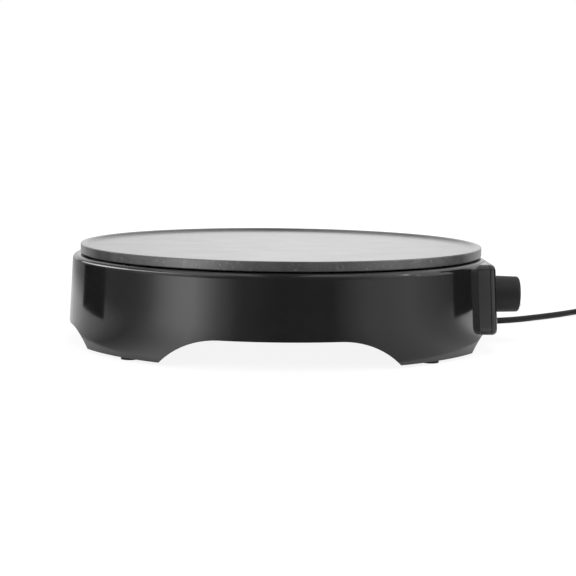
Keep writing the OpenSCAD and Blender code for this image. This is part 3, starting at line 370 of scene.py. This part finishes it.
@dataclass(frozen=True)
class Finish:
    """One surface finish. Grain is in grains per metre, relief in millimetres."""

    slot: Slot
    color: tuple
    roughness: float
    metallic: float = 0.0
    variation: float = 0.12
    tone: float = 0.1
    tone_scale: float = 22.0
    grain: float = 1400.0
    relief: float = 0.01
    pits: float = 0.0
    wave: float = 0.0
    dust: float = 0.0
    coat: float = 0.0
    coat_roughness: float = 0.1
    ior: float = 1.5
    transmission: float = 0.0
    satin_walls: bool = False
    # cast_sides: depth of the cast relief on upright faces; when set, those faces also get painted
    # glints
    cast_sides: float = 0.0

    def material(self, effects: Effects) -> bpy.types.Material:
        """Builds the finish's material.

        Args:
            effects: the shared shader groups.

        Returns:
            The material.
        """
        made = bpy.data.materials.new(self.slot.value)
        made.use_nodes = True
        s = Sheet(made.node_tree)
        shader = made.node_tree.nodes["Principled BSDF"]
        tone = s.add("ShaderNodeGroup", {"node_tree": effects.tone}, Color=(*self.color, 1),
                     Amount=self.tone, Scale=self.tone_scale)
        grain = s.add("ShaderNodeGroup", {"node_tree": effects.grain}, Roughness=self.roughness,
                      Variation=self.variation, Grain=self.grain, Pits=self.pits, Wave=self.wave)
        color, rough = tone.outputs["Color"], grain.outputs["Roughness"]
        if self.dust:
            mask = s.add("ShaderNodeGroup", {"node_tree": effects.dust},
                         Amount=self.dust).outputs["Mask"]
            color = s.blend(mask, color, DUST_COLOR)
            rough = s.math("ADD", rough, s.math("MULTIPLY", mask, DUST_ROUGHNESS))
        height = grain.outputs["Height"]
        if self.satin_walls:
            color, rough = self.on_box_walls(s, color, rough)
        # Cast relief on the sides, with painted glints put into the colour
        if self.cast_sides:
            height, color = self.on_cast_sides(s, height, color)
        bump = s.add("ShaderNodeBump", Strength=1.0, Distance=self.relief * MM, Height=height)
        s.put(shader.inputs["Base Color"], color)
        s.put(shader.inputs["Roughness"], rough)
        s.put(shader.inputs["Normal"], bump.outputs["Normal"])
        for name, value in (("Metallic", self.metallic), ("Coat Weight", self.coat),
                            ("Coat Roughness", self.coat_roughness), ("IOR", self.ior),
                            ("Transmission Weight", self.transmission)):
            shader.inputs[name].default_value = value
        return made

    def on_cast_sides(self, s: Sheet, height, color) -> tuple:
        """Makes upright faces coarser, as cast metal is, with painted glints: bright specks where
        it stands out.

        Args:
            s: the material's nodes.
            height: the relief so far.
            color: the colour so far.

        Returns:
            The relief, and the colour with painted glints in it.
        """
        where = s.add("ShaderNodeTexCoord")
        up = s.add("ShaderNodeSeparateXYZ", Vector=where.outputs["Normal"]).outputs["Z"]
        upright = s.spread(s.math("ABSOLUTE", up), 0.3, 0.8, 1.0, 0.0)
        coarse = s.add("ShaderNodeTexNoise", Vector=where.outputs["Object"], Scale=CAST_SCALE,
                       Detail=5.0, Roughness=0.7).outputs["Fac"]
        patches = s.add("ShaderNodeTexNoise", Vector=where.outputs["Object"], Scale=PATCH_SCALE,
                        Detail=2.0).outputs["Fac"]
        share = s.math("MULTIPLY", upright, s.spread(patches, 0.4, 0.62, 0.25, 1.0))
        # Painted glints: the colour turns light where the cast relief stands out
        specks = s.math("MULTIPLY", share, s.spread(coarse, 0.55, 0.68, 0.0, 1.0))
        cast = s.math("MULTIPLY", s.math("MULTIPLY", coarse, share), self.cast_sides)
        return s.math("ADD", height, cast), s.blend(specks, color, CAST_GLINT_COLOR)

    @staticmethod
    def on_box_walls(s: Sheet, color, rough) -> tuple:
        """Turns the finish satin on the control box's two side walls.

        Args:
            s: the material's nodes.
            color: the colour so far.
            rough: the roughness so far.

        Returns:
            The colour and the roughness.
        """
        where = s.add("ShaderNodeTexCoord")
        x = s.add("ShaderNodeSeparateXYZ", Vector=where.outputs["Object"]).outputs["X"]
        facing = s.add("ShaderNodeSeparateXYZ", Vector=where.outputs["Normal"]).outputs["Y"]
        sideways = s.spread(s.math("ABSOLUTE", facing), 0.86, 0.96, 0.0, 1.0)
        wall = s.math("MULTIPLY", sideways, s.spread(x, *WALL_X, 0.0, 1.0))
        return (s.blend(wall, color, WALL_COLOR),
                s.math("ADD", rough, s.math("MULTIPLY", wall, WALL_ROUGHNESS)))


FINISHES = (
    Finish(Slot.HOUSING, (0.0095, 0.009, 0.0092), 0.11, variation=0.5, tone=0.12, grain=900,
           relief=0.0006, wave=70, dust=0.012, coat=0.2, coat_roughness=0.06, satin_walls=True),
    Finish(Slot.COVER, (0.02, 0.02, 0.0215), 0.5, grain=1600, relief=0.03, dust=0.03),
    Finish(Slot.PLATE, (0.05, 0.0505, 0.0525), 0.34, variation=0.08, tone=0.3, tone_scale=90,
           grain=620, relief=0.02, pits=1.2, dust=0.012, coat=0.9, coat_roughness=0.2,
           cast_sides=7.0),
    Finish(Slot.KNOB, (0.0105, 0.01, 0.01), 0.58, grain=1700, relief=0.02, dust=0.01, ior=1.4),
    Finish(Slot.RUBBER, (0.016, 0.016, 0.016), 0.8, grain=1500, relief=0.04, dust=0.05),
    Finish(Slot.STEEL, (0.62, 0.61, 0.58), 0.32, metallic=1.0, grain=1100, relief=0.004),
    Finish(Slot.ELEMENT, (0.2, 0.185, 0.17), 0.48, metallic=0.9, tone=0.35, grain=1300),
    Finish(Slot.REFLECTOR, (0.6, 0.61, 0.62), 0.3, metallic=1.0, tone=0.12, grain=700,
           relief=0.006),
    Finish(Slot.CERAMIC, (0.8, 0.77, 0.7), 0.55, tone=0.06, grain=1500, relief=0.02),
    Finish(Slot.COPPER, (0.66, 0.31, 0.16), 0.35, metallic=1.0, tone=0.2, grain=900,
           relief=0.004),
    Finish(Slot.SLEEVE, (0.74, 0.71, 0.62), 0.85, tone=0.15, grain=2200, relief=0.08, pits=1.0),
    Finish(Slot.FUSE, (0.62, 0.55, 0.36), 0.3, metallic=1.0, grain=1000, relief=0.003),
    Finish(Slot.LENS, (0.72, 0.14, 0.03), 0.12, tone=0.05, grain=700, relief=0.002,
           transmission=0.55),
    Finish(Slot.LAMP, (0.8, 0.74, 0.6), 0.4, tone=0.05),
    Finish(Slot.WIRE_BROWN, (0.16, 0.055, 0.022), 0.42, relief=0.006),
    Finish(Slot.WIRE_BLUE, (0.02, 0.085, 0.33), 0.42, relief=0.006),
    Finish(Slot.WIRE_GREEN, (0.3, 0.42, 0.03), 0.42, relief=0.006),
    Finish(Slot.CORD, (0.006, 0.006, 0.0063), 0.5, variation=0.2, grain=1300, relief=0.012,
           dust=0.008, ior=1.28),
    Finish(Slot.PLUG, (0.0085, 0.0085, 0.009), 0.48, grain=1500, relief=0.025, dust=0.015,
           ior=1.4),
    Finish(Slot.PINS, (0.78, 0.76, 0.71), 0.16, metallic=1.0, grain=800, relief=0.002),
    Finish(Slot.PRINT, (0.72, 0.72, 0.7), 0.5, tone=0.04, grain=1500, relief=0.004),
)


class Paint:
    """All materials, by slot."""

    def __init__(self) -> None:
        effects = Effects()
        self.by_slot = {finish.slot.value: finish.material(effects) for finish in FINISHES}

    def dress(self, piece: bpy.types.Object, slot: str) -> None:
        """Gives a piece the material of one slot."""
        piece.data.materials.clear()
        piece.data.materials.append(self.by_slot[slot])

    def dress_frame(self) -> None:
        """Gives every CAD node the material of its slot in the record."""
        for part in frame["record"]["subparts"]:
            self.dress(frame["nodes"][part["node"]], part["material_slot"])
            log.info("CAD node %s painted as %s", part["node"], part["material_slot"])


# ---- Pieces ----


def mesh_piece(name: str, points: list, faces: list, smooth: bool = True) -> bpy.types.Object:
    """Makes a mesh object from its points and faces.

    Args:
        name: the piece's name.
        points: its vertices in metres.
        faces: its faces as vertex indices.
        smooth: whether it is shaded smooth.

    Returns:
        The object, linked to the scene.
    """
    mesh = bpy.data.meshes.new(name)
    mesh.from_pydata([tuple(p) for p in points], [], faces)
    mesh.validate()
    if smooth:
        mesh.shade_smooth()
    piece = bpy.data.objects.new(name, mesh)
    bpy.context.scene.collection.objects.link(piece)
    return piece


@dataclass
class MainsCord:
    """The free mains cord from the strain relief to the plug, as one tube."""

    paint: Paint
    flex: Flex = field(default_factory=Flex)
    sides: int = 14

    def build(self) -> bpy.types.Object:
        """Builds and dresses the cord, and hangs it on the base.

        Returns:
            The cord's object.
        """
        path = self.flex.centreline()
        r = self.flex.diameter / 2 * MM
        points, side = [], Vector((0, 0, 1)).cross(path[1] - path[0]).normalized()
        for i, p in enumerate(path):
            ahead = (path[min(i + 1, len(path) - 1)] - path[max(i - 1, 0)]).normalized()
            side = (side - side.dot(ahead) * ahead).normalized()
            up = ahead.cross(side)
            points += [p + r * (math.cos(a) * side + math.sin(a) * up)
                       for a in (2 * math.pi * k / self.sides for k in range(self.sides))]
        n = self.sides
        faces = [(i * n + k, i * n + (k + 1) % n, (i + 1) * n + (k + 1) % n, (i + 1) * n + k)
                 for i in range(len(path) - 1) for k in range(n)]
        last = (len(path) - 1) * n
        faces += [tuple(reversed(range(n))), tuple(range(last, last + n))]
        piece = mesh_piece("mains_cord", points, faces)
        self.paint.dress(piece, Slot.CORD.value)
        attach(piece, Body.BASE.value)
        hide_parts("cord", "cord_coil")
        return piece


class Repeats:
    """Geometry Nodes trees for what repeats, each turned into a plain mesh."""

    def __init__(self, paint: Paint) -> None:
        self.paint = paint

    @staticmethod
    def tree(name: str, inputs: dict) -> tuple:
        """Makes an empty geometry tree.

        Args:
            name: the tree's name.
            inputs: input name to (socket type, default).

        Returns:
            The tree, its Sheet and the input node's outputs.
        """
        tree = bpy.data.node_groups.new(name, "GeometryNodeTree")
        tree.interface.new_socket("Geometry", in_out="INPUT", socket_type="NodeSocketGeometry")
        for key, (kind, default) in inputs.items():
            socket = tree.interface.new_socket(key, in_out="INPUT", socket_type=kind)
            socket.default_value = default
        tree.interface.new_socket("Geometry", in_out="OUTPUT", socket_type="NodeSocketGeometry")
        sheet = Sheet(tree)
        return tree, sheet, sheet.add("NodeGroupInput").outputs

    def close(self, sheet: Sheet, instances: bpy.types.NodeSocket, slot: Slot) -> None:
        """Ends a tree with real geometry of one material."""
        real = sheet.add("GeometryNodeRealizeInstances", Geometry=instances).outputs[0]
        dressed = sheet.add("GeometryNodeSetMaterial", Geometry=real,
                            Material=self.paint.by_slot[slot.value])
        sheet.add("NodeGroupOutput", Geometry=dressed.outputs[0])

    @staticmethod
    def grow(name: str, tree: bpy.types.NodeTree, values: dict) -> bpy.types.Object:
        """Runs a tree once and keeps its result as a plain mesh.

        Args:
            name: the piece's name.
            tree: the geometry tree.
            values: values of the tree's inputs, by name.

        Returns:
            The piece, without a modifier.
        """
        seed = mesh_piece(name + "_seed", [(0, 0, 0)], [], smooth=False)
        modifier = seed.modifiers.new(name, "NODES")
        modifier.node_group = tree
        sockets = {item.name: item.identifier for item in tree.interface.items_tree
                   if item.in_out == "INPUT"}
        for key, value in values.items():
            modifier[sockets[key]] = value
        graph = bpy.context.evaluated_depsgraph_get()
        mesh = bpy.data.meshes.new_from_object(seed.evaluated_get(graph), depsgraph=graph)
        seed.modifiers.clear()
        bpy.data.objects.remove(seed)
        piece = bpy.data.objects.new(name, mesh)
        bpy.context.scene.collection.objects.link(piece)
        log.info("%s: %d faces", name, len(mesh.polygons))
        return piece

    def scale_print(self, dial: Dial) -> bpy.types.Object:
        """The scale's ticks, printed on the control face round the knob's collar.

        Args:
            dial: sizes of the scale.

        Returns:
            The piece, on the base.
        """
        tree, s, given = self.tree("scale_ticks", {
            "Count": ("NodeSocketInt", 10), "Radius": ("NodeSocketFloat", 0.02),
            "Sweep": ("NodeSocketFloat", 4.7), "Start": ("NodeSocketFloat", 0.0),
            "Tick": ("NodeSocketVector", (0.0001, 0.001, 0.003)),
            "Growth": ("NodeSocketFloat", 0.5)})
        index = s.add("GeometryNodeInputIndex").outputs[0]
        share = s.math("DIVIDE", index, s.math("SUBTRACT", given["Count"], 1.0))
        angle = s.math("ADD", given["Start"], s.math("MULTIPLY", share, given["Sweep"]))
        place = s.add("ShaderNodeCombineXYZ",
                      Y=s.math("MULTIPLY", s.math("SINE", angle), given["Radius"]),
                      Z=s.math("MULTIPLY", s.math("COSINE", angle), given["Radius"])).outputs[0]
        spots = s.add("GeometryNodePoints", Count=given["Count"], Position=place).outputs[0]
        turn = s.add("ShaderNodeCombineXYZ", X=s.math("MULTIPLY", angle, -1.0)).outputs[0]
        wider = s.math("ADD", 1.0, s.math("MULTIPLY", share, given["Growth"]))
        grow = s.add("ShaderNodeCombineXYZ", X=1.0, Y=wider, Z=1.0).outputs[0]
        tick = s.add("GeometryNodeMeshCube", Size=given["Tick"]).outputs[0]
        self.close(s, s.add("GeometryNodeInstanceOnPoints", Points=spots, Instance=tick,
                            Rotation=turn, Scale=grow).outputs[0], Slot.PRINT)
        piece = self.grow("dial_scale", tree, {
            "Count": dial.ticks, "Radius": dial.scale_r * MM, "Sweep": math.radians(dial.sweep),
            "Start": math.radians(dial.start), "Growth": dial.growth,
            "Tick": (dial.print_t * MM, dial.tick_w * MM, dial.tick_l * MM)})
        front = (dial.face_x + dial.print_t * dial.print_stand) * MM
        for vertex in piece.data.vertices:
            x, y, z = vertex.co
            lean = -z * math.tan(math.radians(dial.draft))
            vertex.co = (x + lean + front + AXIS_X, y, z + dial.knob_z * MM)
        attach(piece, Body.BASE.value)
        return piece


def knob_pointer(paint: Paint, dial: Dial) -> bpy.types.Object:
    """The pointer line printed on the knob's end, aimed at the scale's first tick.

    Args:
        paint: the materials.
        dial: sizes of the knob.

    Returns:
        The piece, on the knob.
    """
    a = math.radians(dial.start)
    half = dial.pointer_w / 2
    outline = [(r * math.sin(a) + w * math.cos(a), r * math.cos(a) - w * math.sin(a))
               for r in dial.pointer_r for w in (-half, half)]
    corners = [Vector(((dial.knob_end_x + dx) * MM + AXIS_X, y * MM, (z + dial.knob_z) * MM))
               for dx in dial.pointer_dx for y, z in outline]
    faces = [(0, 1, 3, 2), (4, 6, 7, 5), (0, 4, 5, 1), (2, 3, 7, 6), (0, 2, 6, 4), (1, 5, 7, 3)]
    piece = mesh_piece("knob_pointer", corners, faces, smooth=False)
    paint.dress(piece, Slot.PRINT.value)
    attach(piece, Body.KNOB.value)
    return piece


# ---- Camera, light and stage ----
# Metres from the plate's axis, and bearings in degrees round it, 0 towards the camera

# Brightness by bearing: the table near the object, the table further off with the walls' foot,
# the wall in front, and the glow behind
NEAR_KEYS = (
    (-180, 0.8), (-122, 0.8), (-108, 0.8), (-85, 0.53), (-72, 0.22), (-64, 0.45), (-58, 0.7),
    (-48, 1.4), (-40, 1.7), (-30, 0.7), (-20, 0.15), (0, 0.03), (24, 0.06), (34, 0.32),
    (42, 0.55), (65, 0.8), (80, 0.5), (88, 0.6), (95, 1.3), (150, 0.9), (180, 0.8),
)
FAR_KEYS = (
    (-180, 0.6), (-150, 0.55), (-128, 0.3), (-100, 0.15), (-86, 0.15), (-75, 0.25), (-67, 0.5),
    (-58, 1.6), (-50, 2.3), (-42, 2.4), (-30, 0.9), (-20, 0.2), (0, 0.03), (24, 0.06),
    (34, 0.4), (42, 0.65), (65, 0.82), (80, 0.45), (95, 0.2), (112, 0.2), (128, 0.45),
    (150, 0.5), (180, 0.6),
)
FRONT_KEYS = (
    (-180, 0.3), (-82, 0.3), (-72, 0.7), (-62, 0.9), (-48, 0.8), (-32, 0.15), (0, 0.06),
    (30, 0.1), (48, 0.5), (75, 0.85), (180, 0.85),
)
GLOW_KEYS = (
    (-180, 1.12), (-170, 1.0), (-160, 0.86), (-100, 0.8), (100, 0.8), (158, 0.9), (170, 1.08),
    (180, 1.12),
)
# Cards bent round the axis: first and last bearing, then radius, height and keys of each row
TABLE_Z, WALL_FOOT_Z = 0.0004, 0.11
RINGS = (
    ("studio_surround", (-180, 180), (
        (0.2, TABLE_Z, NEAR_KEYS), (0.42, TABLE_Z, NEAR_KEYS), (0.72, TABLE_Z, FAR_KEYS),
        (0.95, TABLE_Z, FAR_KEYS), (0.96, WALL_FOOT_Z, FAR_KEYS))),
    ("backdrop_glow", (100, 260), ((1.1, 0.12, GLOW_KEYS), (1.1, 0.9, GLOW_KEYS))),
    ("studio_front", (-140, 75), ((0.97, WALL_FOOT_Z, FRONT_KEYS), (0.97, 1.25, FRONT_KEYS))),
)
RING_STEPS = 120
# The ceiling: x and brightness
CEILING_KEYS = ((-0.85, 1.1), (-0.2, 1.1), (-0.1, 0.1), (0.1, 0.1), (0.2, 0.9), (0.85, 0.9))
CEILING_Y, CEILING_Z = (-1.2, 0.9), 1.25
# The strip over the left: bearing, height and brightness
STRIP_KEYS = (
    (-132, 0.25, 1.5), (-118, 0.355, 4.0), (-111, 0.402, 7.0), (-98, 0.513, 9.0),
    (-89, 0.59, 7.0), (-77, 0.689, 6.0), (-65, 0.782, 3.5), (-53, 0.87, 1.5), (-34, 0.98, 0.8),
)
STRIP_R, STRIP_W = 0.9, 0.06
# Black flags beside the object: x, and the corners as (y, z)
FLAGS = (
    ("flag_left", -0.3, ((-0.045, 0.01), (0.075, 0.01), (0.075, 0.09), (-0.045, 0.09))),
    ("flag_right", 0.3, ((-0.055, 0.015), (0.068, 0.015), (0.042, 0.045), (0.042, 0.2),
                         (-0.055, 0.2))),
)
# Lamps: centre, width and height, watts, and whether glossy surfaces show them
LAMPS = (
    ("softbox_left", (-1.1, -0.95, 0.75), (0.7, 0.9), 14, True),
    ("softbox_right", (1.25, -0.55, 0.8), (0.6, 0.9), 10, True),
    ("softbox_top", (0.1, 0.35, 1.6), (1.4, 1.1), 16, False),
)
LAMP_AIM = Vector((0, 0, 0.04))
# The floor: radius and brightness of its rings, and the share of glow that the camera sees on it
FLOOR_RINGS = ((0.35, 1.04), (1.2, 1.2), (14.0, 1.2))
FLOOR_Z, FLOOR_SIDES = -0.0002, 64
FLOOR_COLOR, FLOOR_GLOW = (0.82, 0.82, 0.82, 1), 0.86
# The world's brightness as a light, and what reflections see on top of that
SKY_LIGHT, SKY_MIRRORED = 0.6, 0.55
WHITE = (1, 1, 1, 1)


class Studio:
    """The camera, the lamps, the world and what the object stands on."""

    def __init__(self, view: Viewpoint) -> None:
        self.view = view

    def camera(self) -> None:
        """Puts the camera where the photo's was."""
        v = self.view
        data = bpy.data.cameras.new("photo_camera")
        data.sensor_fit = "HORIZONTAL"
        data.sensor_width = v.sensor_mm
        data.lens = v.focal_px / v.image_px * v.sensor_mm
        data.clip_end = v.sees_to
        cam = bpy.data.objects.new("photo_camera", data)
        bpy.context.scene.collection.objects.link(cam)
        level = math.cos(v.pitch)
        ahead = Vector((math.sin(v.yaw) * level, math.cos(v.yaw) * level, -math.sin(v.pitch)))
        right = ahead.cross(Vector((0, 0, 1))).normalized()
        up = right.cross(ahead)
        c, s = math.cos(v.roll), math.sin(v.roll)
        place = cam.matrix_world.copy()
        for i, (x, y, z) in enumerate(zip(right * c + up * s, up * c - right * s, -ahead)):
            place[i][0], place[i][1], place[i][2] = x, y, z
        place[0][3], place[1][3], place[2][3] = AXIS_X, -v.distance, v.height
        cam.matrix_world = place
        bpy.context.scene.camera = cam

    @staticmethod
    def lamp(name: str, place: tuple, size: tuple, watts: float, mirrored: bool) -> None:
        """Hangs a rectangular softbox that faces the object.

        Args:
            name: the lamp's name.
            place: its centre, in metres.
            size: its width and height, in metres.
            watts: its power.
            mirrored: whether glossy surfaces show it.
        """
        data = bpy.data.lights.new(name, "AREA")
        data.shape = "RECTANGLE"
        data.size, data.size_y = size
        data.energy = watts
        lamp = bpy.data.objects.new(name, data)
        lamp.location = place
        lamp.visible_glossy = mirrored
        lamp.rotation_euler = (LAMP_AIM - Vector(place)).to_track_quat("-Z", "Y").to_euler()
        bpy.context.scene.collection.objects.link(lamp)

    @staticmethod
    def glowing(piece: bpy.types.Object, shades: list, name: str) -> tuple:
        """Gives a mesh a new material and a glow by its own brightness at each vertex.

        Args:
            piece: the mesh object.
            shades: the brightness at each vertex.
            name: the material's name.

        Returns:
            The material's nodes and the glow.
        """
        piece.data.attributes.new("shade", "FLOAT", "POINT").data.foreach_set("value", shades)
        made = bpy.data.materials.new(name)
        made.use_nodes = True
        made.node_tree.nodes.clear()
        piece.data.materials.append(made)
        s = Sheet(made.node_tree)
        shade = s.add("ShaderNodeAttribute", {"attribute_name": "shade"}).outputs["Fac"]
        return s, s.add("ShaderNodeEmission", Color=WHITE, Strength=shade).outputs[0]

    def reflection_only(self, name: str, points: list, faces: list, shades: list) -> None:
        """Puts up a card that only mirror-like reflections see.

        Args:
            name: the card's name.
            points: its vertices in metres, from the plate's axis.
            faces: its faces as vertex indices.
            shades: the brightness at each vertex.
        """
        card = mesh_piece(name, [(x + AXIS_X, y, z) for x, y, z in points], faces)
        s, glow = self.glowing(card, shades, name)
        s.add("ShaderNodeOutputMaterial", Surface=glow)
        card.visible_camera = card.visible_diffuse = False
        card.visible_shadow = card.visible_transmission = False

    def ring_of_cards(self, name: str, bearings: tuple, rows: tuple) -> None:
        """Puts up a card bent round the plate's axis, shaded by bearing.

        Args:
            name: the card's name.
            bearings: its first and last bearing in degrees.
            rows: (radius, height, shade keys) of each of its rows of points.
        """
        first, last = bearings
        n = len(rows)
        points, faces, shades = [], [], []
        for i in range(RING_STEPS + 1):
            bearing = first + (last - first) * i / RING_STEPS
            a = math.radians(bearing)
            for radius, z, keys in rows:
                points.append((radius * math.sin(a), -radius * math.cos(a), z))
                shades.append(self.shade_at(keys, (bearing + 180) % 360 - 180))
            if i:
                faces += [((i - 1) * n + j, (i - 1) * n + j + 1, i * n + j + 1, i * n + j)
                          for j in range(n - 1)]
        self.reflection_only(name, points, faces, shades)

    @staticmethod
    def shade_at(keys: tuple, bearing: float) -> float:
        """Brightness at one bearing, between its two keys."""
        k = max(j for j in range(len(keys) - 1) if keys[j][0] <= bearing)
        (a0, s0), (a1, s1) = keys[k], keys[k + 1]
        return s0 + (s1 - s0) * (bearing - a0) / (a1 - a0)

    def flag(self, name: str, x: float, outline: tuple) -> None:
        """Hangs a black flag beside the object, parallel to the view.

        Args:
            name: the flag's name.
            x: its distance from the plate's axis.
            outline: its corners as (y, z).
        """
        points = [(x, y, z) for y, z in outline]
        self.reflection_only(name, points, [tuple(range(len(points)))], [0.0] * len(points))

    def band(self, name: str, columns: list) -> None:
        """Puts up a card that runs through pairs of points.

        Args:
            name: the card's name.
            columns: (first point, second point, brightness) of each pair.
        """
        points = [point for first, second, _ in columns for point in (first, second)]
        shades = [shade for _, _, shade in columns for _ in range(2)]
        faces = [(2 * i, 2 * i + 2, 2 * i + 3, 2 * i + 1) for i in range(len(columns) - 1)]
        self.reflection_only(name, points, faces, shades)

    def ceiling(self) -> None:
        """Puts up the studio's ceiling, darker over the plate than beside it."""
        near, far = CEILING_Y
        self.band("studio_ceiling", [((x, near, CEILING_Z), (x, far, CEILING_Z), shade)
                                     for x, shade in CEILING_KEYS])

    def strip(self) -> None:
        """Hangs the strip that draws a thin bright line along the left half of the shoulder."""
        columns = []
        for bearing, z, shade in STRIP_KEYS:
            a = math.radians(bearing)
            x, y = STRIP_R * math.sin(a), -STRIP_R * math.cos(a)
            columns.append(((x, y, z - STRIP_W / 2), (x, y, z + STRIP_W / 2), shade))
        self.band("strip_left", columns)

    def floor(self) -> None:
        """Lays the pale floor, clear from below. It looks nearly white, with a soft shadow."""
        n = FLOOR_SIDES
        circle = [(math.cos(2 * math.pi * k / n), math.sin(2 * math.pi * k / n)) for k in range(n)]
        points, faces, shades = [(0, 0, FLOOR_Z)], [], [FLOOR_RINGS[0][1]]
        for i, (r, shade) in enumerate(FLOOR_RINGS):
            points += [(r * x, r * y, FLOOR_Z) for x, y in circle]
            shades += [shade] * n
            for k in range(n):
                a, b = 1 + i * n + k, 1 + i * n + (k + 1) % n
                faces.append((0, a, b) if i == 0 else (a - n, a, b, b - n))
        floor = mesh_piece("floor", points, faces, smooth=False)
        s, glow = self.glowing(floor, shades, "pale_floor")
        matt = s.add("ShaderNodeBsdfDiffuse", Color=FLOOR_COLOR).outputs[0]
        watched = s.add("ShaderNodeLightPath").outputs["Is Camera Ray"]
        lit = self.mixed(s, s.math("MULTIPLY", watched, FLOOR_GLOW), matt, glow)
        below = s.add("ShaderNodeNewGeometry").outputs["Backfacing"]
        clear = s.add("ShaderNodeBsdfTransparent").outputs[0]
        s.add("ShaderNodeOutputMaterial", Surface=self.mixed(s, below, lit, clear))

    @staticmethod
    def mixed(s: Sheet, share, first, second) -> bpy.types.NodeSocket:
        """Mixes two shaders.

        Args:
            s: the material's nodes.
            share: how much of the second one shows.
            first: the first shader.
            second: the second shader.

        Returns:
            The mixed shader.
        """
        made = s.add("ShaderNodeMixShader")
        for socket, value in zip(made.inputs, (share, first, second)):
            s.put(socket, value)
        return made.outputs[0]

    @staticmethod
    def world() -> None:
        """A pale surround: white to the camera and to reflections, softer as a light."""
        world = bpy.data.worlds.new("studio")
        bpy.context.scene.world = world
        world.use_nodes = True
        world.node_tree.nodes.clear()
        s = Sheet(world.node_tree)
        path = s.add("ShaderNodeLightPath").outputs
        mirrored = s.math("MAXIMUM", path["Is Glossy Ray"], path["Is Transmission Ray"])
        level = s.math("ADD", s.math("MULTIPLY", mirrored, SKY_MIRRORED), SKY_LIGHT)
        level = s.math("MAXIMUM", level, path["Is Camera Ray"])
        back = s.add("ShaderNodeBackground", Color=WHITE, Strength=level)
        s.add("ShaderNodeOutputWorld", Surface=back.outputs[0])

    def build(self) -> None:
        """Sets up everything round the object."""
        self.world()
        self.floor()
        for lamp in LAMPS:
            self.lamp(*lamp)
        for ring in RINGS:
            self.ring_of_cards(*ring)
        self.ceiling()
        self.strip()
        for flag in FLAGS:
            self.flag(*flag)
        bpy.context.scene.view_settings.view_transform = "Standard"


def main() -> None:
    """Builds the scene in order."""
    logging.basicConfig(level=logging.INFO, format="%(name)s: %(message)s")
    studio = Studio(Viewpoint())
    studio.camera()
    paint = Paint()
    MainsCord(paint).build()
    paint.dress_frame()
    dial = Dial()
    Repeats(paint).scale_print(dial)
    knob_pointer(paint, dial)
    studio.build()


if __name__ == "__main__":
    main()
